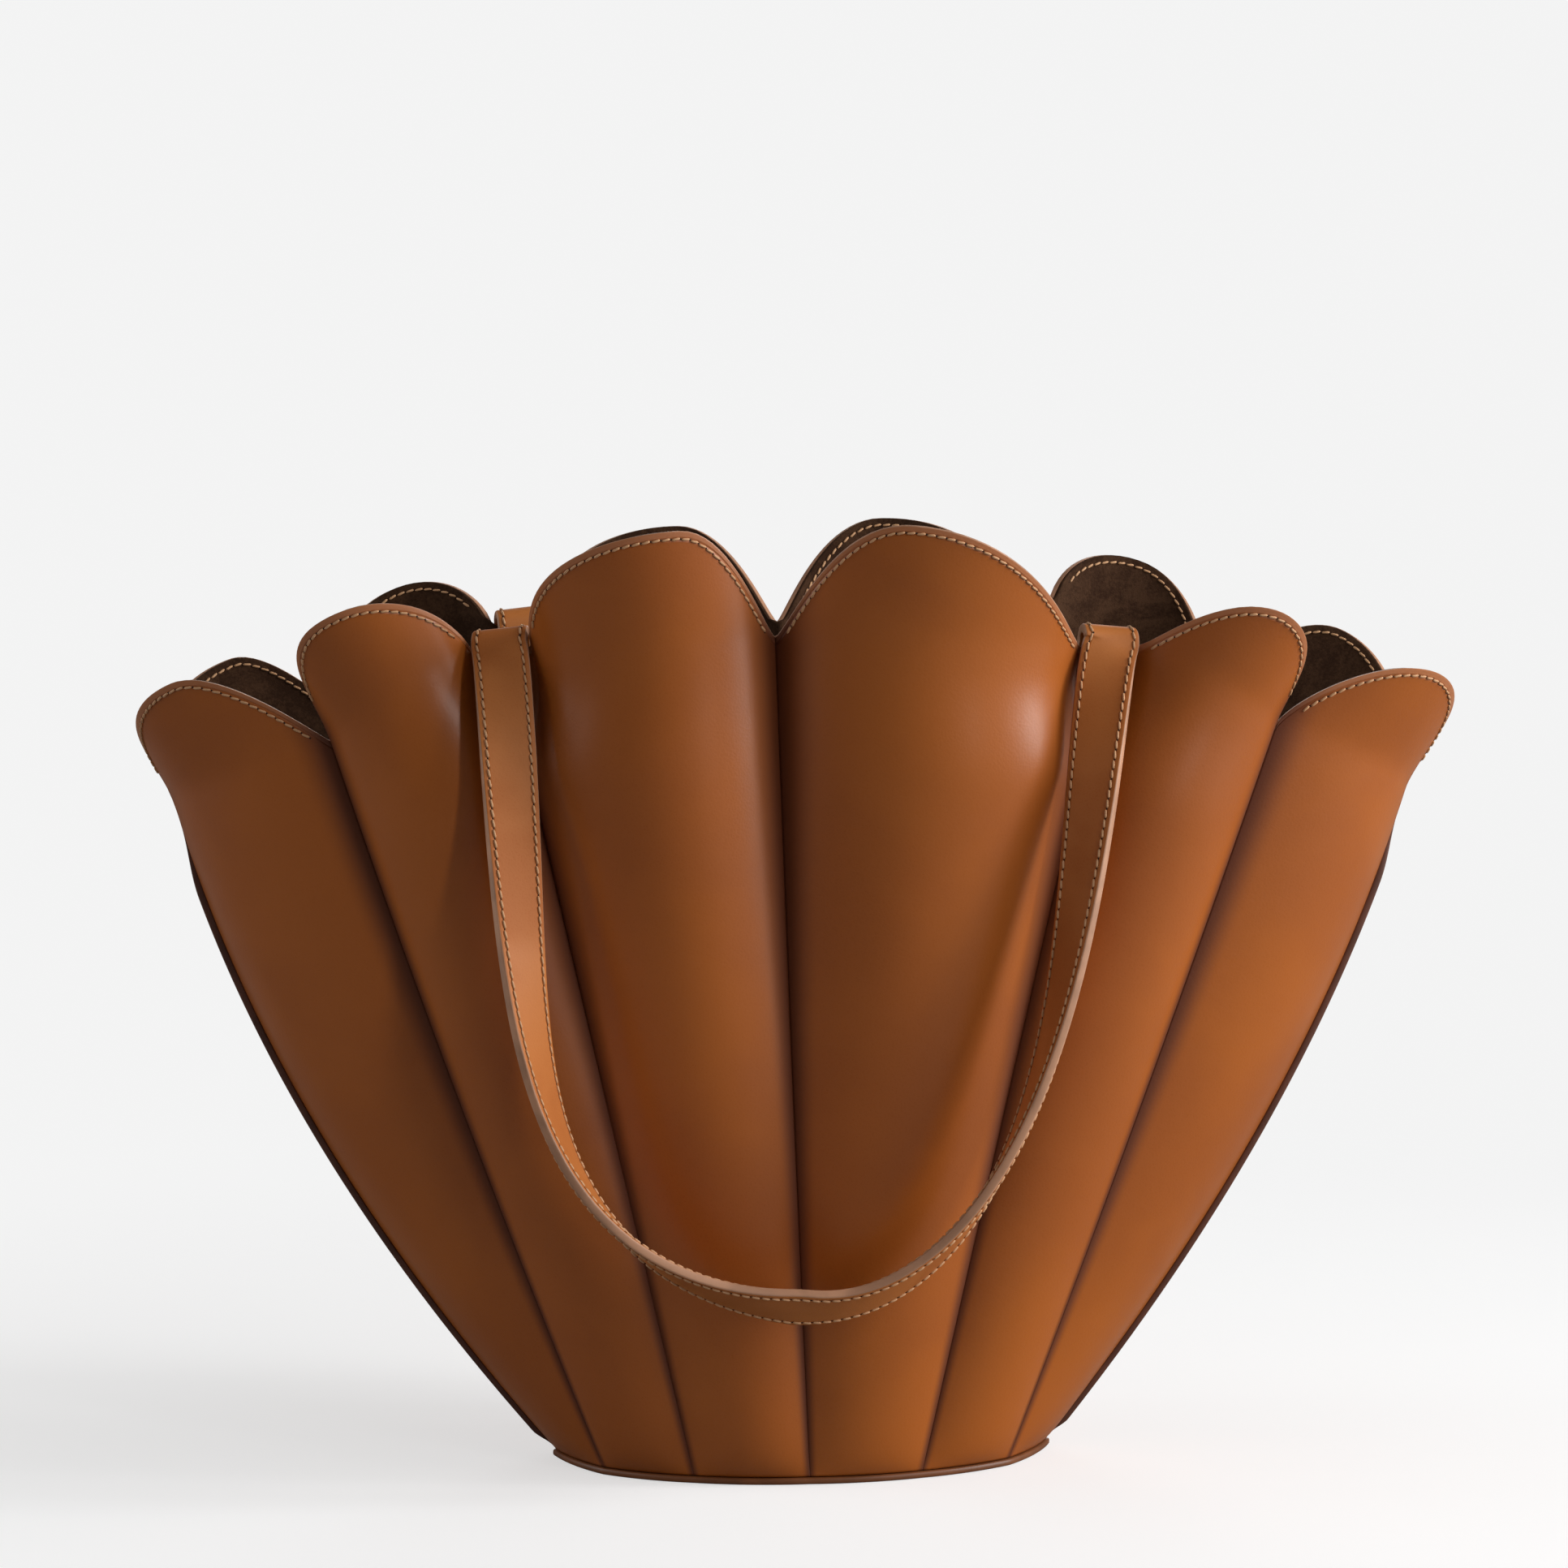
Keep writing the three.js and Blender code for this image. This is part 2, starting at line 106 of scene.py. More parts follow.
# Soft boxes round the bag: azimuth in degrees from the front to the right, height, width, tallness, power.
LIGHTS = {
    "key": (76, 0.75, 0.4, 1.5, 25),
    "key_front": (62, 0.75, 0.45, 1.4, 7),
    "key_streak": (34, 0.75, 0.12, 1.4, 7),
    "key_back": (92, 0.75, 0.45, 1.4, 6),
    "fill": (-98, 0.75, 0.9, 1.5, 9),
    "fill_front": (-66, 0.75, 0.4, 1.4, 2.5),
    "back": (172, 0.8, 0.9, 1.4, 7),
}
LIGHT_DISTANCE = 1.8
AIM_HEIGHT = 0.17

# Steps of the meshes, across and up or along.
LEATHER_STEPS = (56, 72)
LINING_STEPS = (40, 52)
STRIP_STEPS = (24, 120)
PIPING_ROUND = 20
PIPING_PER_PETAL = 24
RIM_STEPS = 400

# Points nearer than this are one point, and shares nearer than this are one share.
WELD = 1e-7
SAME_SHARE = 1e-6


def length(name, default, description):
    return bpy.props.FloatProperty(
        name=name, description=description, default=default, unit="LENGTH", precision=4
    )


def share(name, default, description):
    return bpy.props.FloatProperty(name=name, description=description, default=default, precision=3)


def angle(name, degrees, description):
    return bpy.props.FloatProperty(
        name=name, description=description, default=math.radians(degrees), subtype="ANGLE"
    )


def colour(name, default, description):
    return bpy.props.FloatVectorProperty(
        name=name, description=description, default=default, subtype="COLOR", size=3, min=0.0, max=1.0
    )


class ToteShape(bpy.types.PropertyGroup):
    """Sizes of the petals, the base and the strips on the seams."""

    mouth_width: length("Mouth width", 0.411, "Between the tops of the two side seams")
    mouth_depth: length("Mouth depth", 0.146, "Between the tops of the front and back middle seams")
    valley_height: length("Valley height", 0.277, "Top of a middle seam above the ground")
    lobe_height: length("Lobe height", 0.035, "Rise of a petal's lobe above the tops of its seams")
    lobe_spread: share("Lobe spread", 0.62, "How much faster the lobes spread outwards than the seams")
    lobe_bend: share("Lobe bend", 0.03, "Share of the height over which the lobes take up that spread")
    base_width: length("Base width", 0.166, "Width of the oval of the petals' feet")
    base_depth: length("Base depth", 0.107, "Depth of the oval of the petals' feet")
    leather: length("Leather", 0.0018, "Thickness of the outer leather")
    rim_round: length("Rim round", 0.0005, "Bevel of the leather's painted rim")
    lining_round: length("Lining round", 0.0003, "Bevel of the lining's rim")
    suede: length("Suede", 0.001, "Thickness of the lining")
    fit: length("Fit", 0.0003, "Clearance between pieces that lie on each other")
    seam_gap: length("Seam gap", 0.00004, "Between two petals where they meet")
    piping_height: length("Piping height", 0.0023, "Height of the piping round the base")
    piping_width: length("Piping width", 0.0034, "Width of the piping round the base")
    piping_proud: length("Piping proud", 0.0008, "How far the piping stands out beyond the petals' feet")
    pillow_height: length("Pillow height", 0.0047, "A third of the height over which a petal puffs out")
    pillow_foot: share("Pillow foot", 0.1, "Roundness of a petal's foot, as a share of half its chord")
    fullness: share("Fullness", 1.2, "How late the petals fill out on their way up")
    mitre: share("Mitre", 0.45, "Least cosine at which a wall's end is mitred in full")
    seam_proud: length("Seam proud", 0.0023, "How far a side seam's strip stands out")
    seam_sunk: length("Seam sunk", 0.0006, "How far a side seam's strip reaches in between its petals")
    seam_width: length("Seam width", 0.003, "Width of a side seam's strip")
    seam_tip: length("Seam tip", 0.005, "Length of the narrowing tip at each end of a side seam")
    seam_from: share("Seam from", 0.005, "Share of its height where a side seam's strip starts")
    seam_to: share("Seam to", 0.97, "Share of its height where a side seam's strip ends")
    seam_taper: share("Seam taper", 5.0, "How many times as long as the lower tip the upper one is")
    seam_point: share("Seam point", 0.2, "Size of the strip at its tips, as a share of the whole one")


class ToteStrap(bpy.types.PropertyGroup):
    """Sizes of the two strap handles."""

    width: length("Strap width", 0.018, "Width of the strap")
    thickness: length("Strap thickness", 0.003, "Thickness of the strap")
    drop: length("Drop", 0.211, "From the fold over the rim to the middle of the hanging loop")
    tab: length("Tab", 0.024, "Length of the sewn end inside the bag")
    stand_off: length("Stand-off", 0.017, "How far the loop hangs out from its folds")
    settle: share("Settle", 6.0, "How soon below its folds the loop reaches its stand-off")
    lean_left: share("Left lean", 0.086, "How far the left leg leans in, as a share of half the loop")
    lean_right: share("Right lean", 0.236, "How far the right leg leans in, as a share of half the loop")
    bend_left: share("Left bend", 0.38, "How early the left leg curves into the loop")
    bend_right: share("Right bend", 0.55, "How early the right leg curves into the loop")
    lean: share("Lean", 0.7, "How soon the legs take up their lean")
    twist: angle("Twist", 132, "Angle that the strap turns on itself by the middle of the loop")
    twist_left: share("Left twist", 1.2, "How late the left leg takes up the twist")
    twist_right: share("Right twist", 0.8, "How late the right leg takes up the twist")
    fold_tilt: share("Fold tilt", 0.1, "Slope of the folds, whose outer ends lie lower")
    clearance: length("Notch clearance", 0.0007, "Between a strap's edge and the lobe beside it")
    seat_height: length("Seat height", 0.046, "Height of the flat seat of a strap below the rim")
    seat_full: length("Seat full", 0.007, "Height over which the seat is as wide as the strap")
    edge_round: length("Edge round", 0.0007, "Radius of the strap's painted edges")


class ToteStitching(bpy.types.PropertyGroup):
    """Sizes of the stitches."""

    pitch: length("Pitch", 0.0032, "From one stitch to the next")
    thread: length("Thread", 0.00085, "Thickness of the thread")
    start: length("Start", 0.0035, "From a notch in the rim to the first stitch")
    margin: length("Margin", 0.0026, "From the rim's edge to the line of stitches")
    strap_margin: length("Strap margin", 0.002, "From a strap's edge to the line of stitches")
    slant: angle("Slant", 9, "Slant of each stitch to its line")


class ToteColours(bpy.types.PropertyGroup):
    """Colours of the leathers, the suede and the thread."""

    tan: colour("Tan", (0.41, 0.106, 0.012), "Outer leather")
    tan_deep: colour("Deep tan", (0.345, 0.084, 0.009), "Outer leather where it took more dye")
    # Painted shade: a near-black leather colour laid into the folds between petals, where the deep valleys
    # lie in shade.
    fold_shade: colour("Fold", (0.085, 0.014, 0.0015), "Outer leather deep between two petals")
    strap: colour("Strap", (0.52, 0.165, 0.035), "Straps")
    strap_deep: colour("Deep strap", (0.42, 0.115, 0.018), "Straps where they are handled")
    edge: colour("Edge", (0.55, 0.28, 0.16), "Painted edge of the rim and the straps")
    dark_edge: colour("Dark edge", (0.13, 0.042, 0.02), "Edge of the side seams")
    piping: colour("Piping", (0.2, 0.066, 0.02), "Piping round the base")
    suede: colour("Suede", (0.03, 0.0115, 0.0045), "Suede lining")
    suede_light: colour("Brushed suede", (0.066, 0.03, 0.014), "Suede where the nap is brushed up")
    thread: colour("Thread", (0.75, 0.41, 0.2), "Thread of the stitches")
    # Painted shade: a dark colour for the needle holes, which look dark only because their insides lie in
    # shade.
    hole_shade: colour("Needle hole", (0.05, 0.018, 0.007), "Needle holes between the stitches")


class ToteStage(bpy.types.PropertyGroup):
    """The camera, the floor and the light."""

    azimuth: angle("Azimuth", -3.0, "Camera's turn round the bag")
    distance: length("Distance", 1.55, "From the camera to the bag's axis, along the ground")
    height: length("Height", 0.331, "Camera above the ground")
    aside: length("Aside", -0.0033, "Camera moved sideways")
    pitch: angle("Pitch", 3.91, "Camera's tilt below the horizon")
    roll: angle("Roll", 0.7, "Camera's turn about its own axis")
    lens: share("Lens", 106.86, "Focal length in millimetres on a 36 mm sensor")
    paper: colour("Paper", (0.9, 0.9, 0.9), "Floor and background")


# Working out the surfaces


def shape():
    return bpy.context.scene.tote_shape


def strap():
    return bpy.context.scene.tote_strap


def unit(vectors):
    return vectors / np.linalg.norm(vectors, axis=-1, keepdims=True)


def after(index):
    return (index + 1) % len(SEAMS)


def floor_height():
    return shape().piping_height + shape().fit


def wall_depth():
    return shape().leather + shape().fit + shape().suede


def oval_point(place, side, width, depth):
    """A point of an oval at a share of its half width, on the front or the back."""
    return np.array([place * width / 2, side * depth / 2 * math.sqrt(max(0.0, 1 - place * place))])


def seam_point(index, v):
    """The seam at height share v: 0 at the foot, 1 at its top, and straight on above it."""
    size = shape()
    seam = SEAMS[index]
    foot = oval_point(seam["foot"], seam["side"], size.base_width, size.base_depth)
    top = oval_point(seam["top"], seam["side"], size.mouth_width, size.mouth_depth)
    v = np.asarray(v, float)
    above = np.maximum(0, v - 1)
    out = np.where(v < 1, v * (1 + seam["bow"] * (1 - v)), 1 + (1 - seam["bow"]) * above)
    out = out + size.lobe_spread * above * above / (above + size.lobe_bend)
    plan = foot + (top - foot) * out[..., None]
    height = floor_height() + v * (seam["height"] * size.valley_height - floor_height())
    return np.concatenate([plan, height[..., None]], axis=-1)


def chord_normal(index, v):
    """The outward horizontal direction square to the chord of a petal."""
    chord = seam_point(after(index), v) - seam_point(index, v)
    return unit(np.stack([chord[..., 1], -chord[..., 0], 0 * chord[..., 0]], axis=-1))


def seam_out(index, v):
    """Outwards along the plane in which two petals meet."""
    return unit(chord_normal(index - 1, v) + chord_normal(index, v))


def sideways(out):
    return np.stack([-out[..., 1], out[..., 0], 0 * out[..., 0]], axis=-1)


def run_along(points):
    """How far along a line each of its points lies."""
    steps = np.linalg.norm(np.diff(points, axis=0), axis=1)
    return np.concatenate([[0], np.cumsum(steps)])


def spread_over(spots, arc, table):
    """The table's values at other places along the line."""
    return np.stack([np.interp(spots, arc, table[:, axis]) for axis in range(3)], axis=-1)


def squared_off(value, power):
    """A sine or cosine, with the round section that it draws squared off."""
    return np.sign(value) * np.power(np.abs(value), power)


def smooth_step(value, low, high):
    t = np.clip((value - low) / (high - low), 0, 1)
    return t * t * (3 - 2 * t)


def seat_length(index, v):
    """Half the flat seat of a strap beside its seam: full at the rim and closed lower down."""
    if not SEAMS[index]["seat"]:
        return 0 * np.asarray(v, float)
    full = strap().width / 2 + strap().clearance
    below = (1 - v) * SEAMS[index]["height"] * shape().valley_height
    return full * (1 - smooth_step(below, strap().seat_full, strap().seat_height))


def roundness(petal, v):
    """Bulge of the cross section as a share of half its chord."""
    size = shape()
    puffed = 1 - np.exp(-v * size.valley_height / size.pillow_height)
    filling = (petal["high"] - petal["low"]) * np.power(np.minimum(v, 1), size.fullness)
    flare = petal["flare"] * np.maximum(0, v - 1)
    return size.pillow_foot + (petal["low"] - size.pillow_foot) * puffed + filling + flare


def cross_section(index, v):
    """The cross section of a petal at height share v: a flat seat, an arc and a flat seat."""
    v = np.asarray(v, float)
    start = seam_point(index, v)
    end = seam_point(after(index), v)
    chord = np.hypot(end[..., 0] - start[..., 0], end[..., 1] - start[..., 1])
    flat_start = seat_length(index, v)
    flat_end = seat_length(after(index), v)
    half = (chord - flat_start - flat_end) / 2
    angle = 2 * np.arctan(roundness(PETALS[index], v))
    radius = half / np.sin(angle)
    reach = flat_start + 2 * angle * radius + flat_end
    return start, end, chord, flat_start, flat_end, half, angle, radius, reach


def outer_face(index, u, v):
    """The outer face of a petal at share u across and height share v."""
    start, end, chord, flat_start, flat_end, half, angle, radius, whole = cross_section(index, v)
    reach = u * whole
    turn = np.clip((reach - flat_start) / radius - angle, -angle, angle)
    bulge = radius * (np.cos(turn) - np.cos(angle))
    climb = (1 + np.sin(turn) / np.sin(angle)) / 2
    along = flat_start + 2 * half * climb
    along = np.where(reach < flat_start, reach, along)
    along = np.where(reach > whole - flat_end, chord - (whole - reach), along)
    point = start + (end - start) * (along / chord)[..., None]
    point[..., 2] = start[..., 2] + (end[..., 2] - start[..., 2]) * climb
    return point + chord_normal(index, v) * bulge[..., None]


def rim_share(index, u):
    """Height share of the rim at share u across: 1 at the seams and in a notch, more over the lobe."""
    petal = PETALS[index]
    start, end, _, flat_start, flat_end, _, _, _, whole = cross_section(index, 1.0)
    first = flat_start / whole
    inside = np.clip((u - first) / (1 - first - flat_end / whole), 0, 1)
    climbing = inside < petal["peak"]
    climb = np.where(climbing, inside / petal["peak"], (1 - inside) / (1 - petal["peak"]))
    steepness = np.where(climbing, petal["start"], petal["end"])
    rise = petal["rise"] * shape().lobe_height * np.power(np.sin(math.pi / 2 * climb), steepness)
    return 1 + rise / ((start[2] + end[2]) / 2)


def petal_point(index, u, w):
    """The outer face at share u across and share w of the way from the foot to the rim."""
    return outer_face(index, u, w * rim_share(index, u))


def petal_slopes(index, u, w, nudge=0.002):
    """How fast the outer face moves across and up."""
    left = np.maximum(0, u - nudge)
    right = np.minimum(1, u + nudge)
    down = np.maximum(0, w - nudge)
    up = np.minimum(1, w + nudge)
    across = (petal_point(index, right, w) - petal_point(index, left, w)) / (right - left)[..., None]
    rising = (petal_point(index, u, up) - petal_point(index, u, down)) / (up - down)[..., None]
    return across, rising


def wall_points(index, u, w, depth):
    """Points of the wall set in by a depth square to its outer face, kept at their height. Where two
    petals meet, both walls end on the plane between them, with the clearance shared."""
    point = petal_point(index, u, w)
    across, rising = petal_slopes(index, u, w)
    normal = unit(np.cross(across, rising))
    flat = normal.copy()
    flat[..., 2] = 0
    inward = -unit(flat)
    inset = point + inward * (depth / -np.sum(normal * inward, axis=-1))[..., None]
    for edge, seam, side in ((0.0, index, 0.5), (1.0, after(index), -0.5)):
        out = seam_out(seam, w)
        mitred = point + sideways(out) * (side * shape().seam_gap)
        mitred = mitred - out * (depth / np.maximum(np.sum(normal * out, axis=-1), shape().mitre))[..., None]
        inset = np.where((np.abs(u - edge) < SAME_SHARE)[..., None], mitred, inset)
    return inset


# Making meshes


def new_piece(name, bm, materials):
    mesh = bpy.data.meshes.new(name)
    bm.to_mesh(mesh)
    bm.free()
    piece = bpy.data.objects.new(name, mesh)
    bpy.context.scene.collection.objects.link(piece)
    for material in materials:
        mesh.materials.append(material)
    mesh.polygons.foreach_set("use_smooth", [True] * len(mesh.polygons))
    mesh.update()
    return piece


def dress(name, material):
    """Gives one of the CAD's own pieces its material."""
    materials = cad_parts[name].data.materials
    materials.clear()
    materials.append(material)


def grid(bm, columns, rows):
    """A flat grid whose vertices lie at shares from 0 to 1 across and up."""
    made = bmesh.ops.create_grid(bm, x_segments=columns, y_segments=rows, size=0.5)
    verts = made["verts"]
    places = np.array([(vert.co.x + 0.5, vert.co.y + 0.5) for vert in verts])
    return verts, np.clip(np.round(places, 7), 0, 1)


def place(verts, points):
    for vert, point in zip(verts, points):
        vert.co = point


def close_bar(bm):
    """Joins the sides of a swept grid, closes its ends and returns the faces of the ends."""
    bmesh.ops.remove_doubles(bm, verts=bm.verts, dist=WELD)
    rims = [edge for edge in bm.edges if edge.is_boundary]
    ends = bmesh.ops.holes_fill(bm, edges=rims, sides=0)
    bmesh.ops.recalc_face_normals(bm, faces=bm.faces)
    return ends["faces"]


def drawn(shares, strength):
    """Shares drawn towards both ends, where the surface turns fastest."""
    return shares - strength * np.sin(2 * math.pi * shares)


def edges_between(verts):
    """The edges that join two of these vertices."""
    chosen = set(verts)
    return list({edge for vert in verts for edge in vert.link_edges if edge.other_vert(vert) in chosen})


def write_map(bm, verts, places, name="Wall"):
    """Writes a map with a place for each vertex."""
    layer = bm.loops.layers.uv.get(name) or bm.loops.layers.uv.new(name)
    known = dict(zip(verts, places))
    for face in bm.faces:
        for loop in face.loops:
            if loop.vert in known:
                loop[layer].uv = known[loop.vert]


def fold_shade_depth(index, u, w):
    """How strongly painted shade darkens a place in the folds between petals: 1 on a seam and 0 out on the
    petal. The painted shade reaches further at the rim than at the foot, and is weaker at the side seams."""
    reach = 0.07 + 0.1 * w
    depth = np.zeros_like(u)
    for apart, seam in ((u, index), (1 - u, after(index))):
        strength = 0.3 if seam in SIDE_SEAMS.values() else 1.0
        depth = np.maximum(depth, strength * (1 - smooth_step(apart / reach, 0, 1)))
    return depth


def wall_shell(index, outside, inside, steps, edge_round):
    """A closed wall of a petal between two depths, with a rounded rim in the second material. Its map
    holds the share across and the distance below the rim in decimetres."""
    bm = bmesh.new()
    rims = []
    boundary = []
    for depth in (outside, inside):
        verts, places = grid(bm, *steps)
        u = drawn(places[:, 0], 0.08)
        w = drawn(places[:, 1], 0.13)
        place(verts, wall_points(index, u, w, depth))
        scale = rim_share(index, u) * shape().valley_height
        write_map(bm, verts, np.stack([u, (1 - w) * scale * 10], axis=-1))
        # The second map holds how strongly painted shade darkens the folds between petals, and the height
        # share.
        write_map(bm, verts, np.stack([fold_shade_depth(index, u, w), w], axis=-1), "Fold")
        if depth == inside:
            faces = list({face for vert in verts for face in vert.link_faces})
            bmesh.ops.reverse_faces(bm, faces=faces)
        edge = [vert for vert in verts if vert.is_boundary]
        boundary += edges_between(edge)
        rims.append([vert for vert, spot in zip(verts, places) if spot[1] > 1 - SAME_SHARE])
    boundary = [edge for edge in set(boundary) if edge.is_boundary]
    made = bmesh.ops.bridge_loops(bm, edges=boundary)
    rim_verts = set(rims[0]) | set(rims[1])
    for face in made["faces"]:
        face.material_index = 1 if all(vert in rim_verts for vert in face.verts) else 0
    outer_rim = [edge for edge in edges_between(rims[0]) if not edge.is_boundary]
    inner_rim = [edge for edge in edges_between(rims[1]) if not edge.is_boundary]
    bmesh.ops.bevel(
        bm,
        geom=outer_rim + inner_rim,
        offset=edge_round,
        segments=2,
        profile=0.5,
        affect="EDGES",
        material=1,
        clamp_overlap=True,
    )
    return bm


# Shader parts


def link(tree, source, target):
    tree.links.new(source, target)


def add_node(tree, kind, **values):
    node = tree.nodes.new(kind)
    for key, value in values.items():
        setattr(node, key, value)
    return node


def set_inputs(node, values):
    for title, value in values.items():
        node.inputs[title].default_value = value


def made_once(store, name):
    """Lets a function make its group or material the first time, and finds it by name after that."""

    def wrap(make):
        return lambda: getattr(bpy.data, store).get(name) or make(name)

    return wrap


def new_group(name, inputs, outputs):
    """A shader group with named inputs and outputs."""
    group = bpy.data.node_groups.new(name, "ShaderNodeTree")
    for title, kind, default in inputs:
        socket = group.interface.new_socket(name=title, in_out="INPUT", socket_type=kind)
        socket.default_value = default
    for title, kind in outputs:
        group.interface.new_socket(name=title, in_out="OUTPUT", socket_type=kind)
    start = add_node(group, "NodeGroupInput")
    end = add_node(group, "NodeGroupOutput")
    return group, start, end


def noise(tree, vector, scale, detail, roughness=0.55, distortion=0.0):
    node = add_node(tree, "ShaderNodeTexNoise")
    link(tree, vector, node.inputs["Vector"])
    if isinstance(scale, float):
        node.inputs["Scale"].default_value = scale
    else:
        link(tree, scale, node.inputs["Scale"])
    set_inputs(node, {"Detail": detail, "Roughness": roughness, "Distortion": distortion})
    return node


def ramp(tree, value, low, high, from_value=0.0, to_value=1.0):
    node = add_node(tree, "ShaderNodeMapRange", interpolation_type="SMOOTHSTEP")
    link(tree, value, node.inputs["Value"])
    set_inputs(node, {"From Min": low, "From Max": high, "To Min": from_value, "To Max": to_value})
    return node.outputs["Result"]


def maths(tree, operation, first, second):
    node = add_node(tree, "ShaderNodeMath", operation=operation)
    for socket, value in zip(node.inputs, (first, second)):
        if isinstance(value, (int, float)):
            socket.default_value = value
        else:
            link(tree, value, socket)
    return node.outputs[0]


def mix_colour(tree, factor, first, second, blend="MIX"):
    node = add_node(tree, "ShaderNodeMix", data_type="RGBA", blend_type=blend)
    if isinstance(factor, float):
        node.inputs[0].default_value = factor
    else:
        link(tree, factor, node.inputs[0])
    for socket, value in ((node.inputs[6], first), (node.inputs[7], second)):
        if hasattr(value, "is_linked"):
            link(tree, value, socket)
        else:
            socket.default_value = (*value, 1.0)
    return node.outputs[2]


@made_once("node_groups", "Leather grain")
def leather_grain(name):
    """Fine pebbled grain with pores, and large soft changes of tone."""
    group, start, end = new_group(
        name,
        [("Grain scale", "NodeSocketFloat", 1500.0), ("Tone scale", "NodeSocketFloat", 16.0)],
        [("Height", "NodeSocketFloat"), ("Tone", "NodeSocketFloat"), ("Pores", "NodeSocketFloat")],
    )
    place_of = add_node(group, "ShaderNodeTexCoord").outputs["Object"]
    cells = add_node(group, "ShaderNodeTexVoronoi", feature="SMOOTH_F1")
    link(group, place_of, cells.inputs["Vector"])
    link(group, start.outputs["Grain scale"], cells.inputs["Scale"])
    cells.inputs["Smoothness"].default_value = 0.6
    fine = noise(group, place_of, 2600.0, 2.0)
    creases = noise(group, place_of, 420.0, 3.0, 0.6, 0.4)
    specks = maths(group, "MULTIPLY", fine.outputs["Fac"], 0.35)
    height = maths(group, "ADD", cells.outputs["Distance"], specks)
    height = maths(group, "ADD", height, maths(group, "MULTIPLY", creases.outputs["Fac"], 0.5))
    link(group, height, end.inputs["Height"])
    tone = noise(group, place_of, start.outputs["Tone scale"], 3.0, 0.5, 0.3)
    link(group, ramp(group, tone.outputs["Fac"], 0.36, 0.64), end.inputs["Tone"])
    link(group, ramp(group, cells.outputs["Distance"], 0.0, 0.45), end.inputs["Pores"])
    return group


@made_once("node_groups", "Suede nap")
def suede_nap(name):
    """Short nap, brushed one way here and the other way there."""
    group, start, end = new_group(
        name,
        [("Nap scale", "NodeSocketFloat", 1800.0), ("Brush scale", "NodeSocketFloat", 70.0)],
        [("Height", "NodeSocketFloat"), ("Brushed", "NodeSocketFloat")],
    )
    place_of = add_node(group, "ShaderNodeTexCoord").outputs["Object"]
    nap = noise(group, place_of, start.outputs["Nap scale"], 3.0, 0.7)
    link(group, nap.outputs["Fac"], end.inputs["Height"])
    brushed = noise(group, place_of, start.outputs["Brush scale"], 4.0, 0.65, 0.8)
    speckle = noise(group, place_of, 900.0, 2.0, 0.7)
    both = maths(group, "ADD", brushed.outputs["Fac"], maths(group, "MULTIPLY", speckle.outputs["Fac"], 0.5))
    link(group, ramp(group, both, 0.6, 0.95), end.inputs["Brushed"])
    return group


@made_once("node_groups", "Rim band")
def rim_band(name):
    """Two masks from the distance below a rim: the turned margin, and the groove of the stitches."""
    group, start, end = new_group(
        name,
        [
            ("Distance", "NodeSocketFloat", 0.0),
            ("Line", "NodeSocketFloat", 2.6),
            ("Half groove", "NodeSocketFloat", 0.8),
        ],
        [("Margin", "NodeSocketFloat"), ("Groove", "NodeSocketFloat")],
    )
    past = maths(group, "SUBTRACT", start.outputs["Distance"], start.outputs["Line"])
    apart = maths(group, "ABSOLUTE", past, 0.0)
    share_of = maths(group, "DIVIDE", apart, start.outputs["Half groove"])
    link(group, ramp(group, share_of, 0.0, 1.0, 1.0, 0.0), end.inputs["Groove"])
    link(group, ramp(group, past, -0.6, 0.5, 1.0, 0.0), end.inputs["Margin"])
    return group


def use_group(tree, group, **values):
    node = add_node(tree, "ShaderNodeGroup", node_tree=group)
    for key, value in values.items():
        node.inputs[key.replace("_", " ").capitalize()].default_value = value
    return node


def bump(tree, height, strength, distance, normal=None):
    node = add_node(tree, "ShaderNodeBump")
    set_inputs(node, {"Strength": strength, "Distance": distance})
    link(tree, height, node.inputs["Height"])
    if normal is not None:
        link(tree, normal, node.inputs["Normal"])
    return node.outputs["Normal"]


def new_material(name):
    material = bpy.data.materials.new(name)
    material.use_nodes = True
    tree = material.node_tree
    return material, tree, tree.nodes["Principled BSDF"]


def colours():
    return bpy.context.scene.tote_colours


def map_share(tree, axis, scale, name="Wall"):
    """One axis of one of the piece's own maps, scaled."""
    own = add_node(tree, "ShaderNodeUVMap", uv_map=name)
    parts = add_node(tree, "ShaderNodeSeparateXYZ")
    link(tree, own.outputs["UV"], parts.inputs["Vector"])
    return maths(tree, "MULTIPLY", parts.outputs[axis], scale)


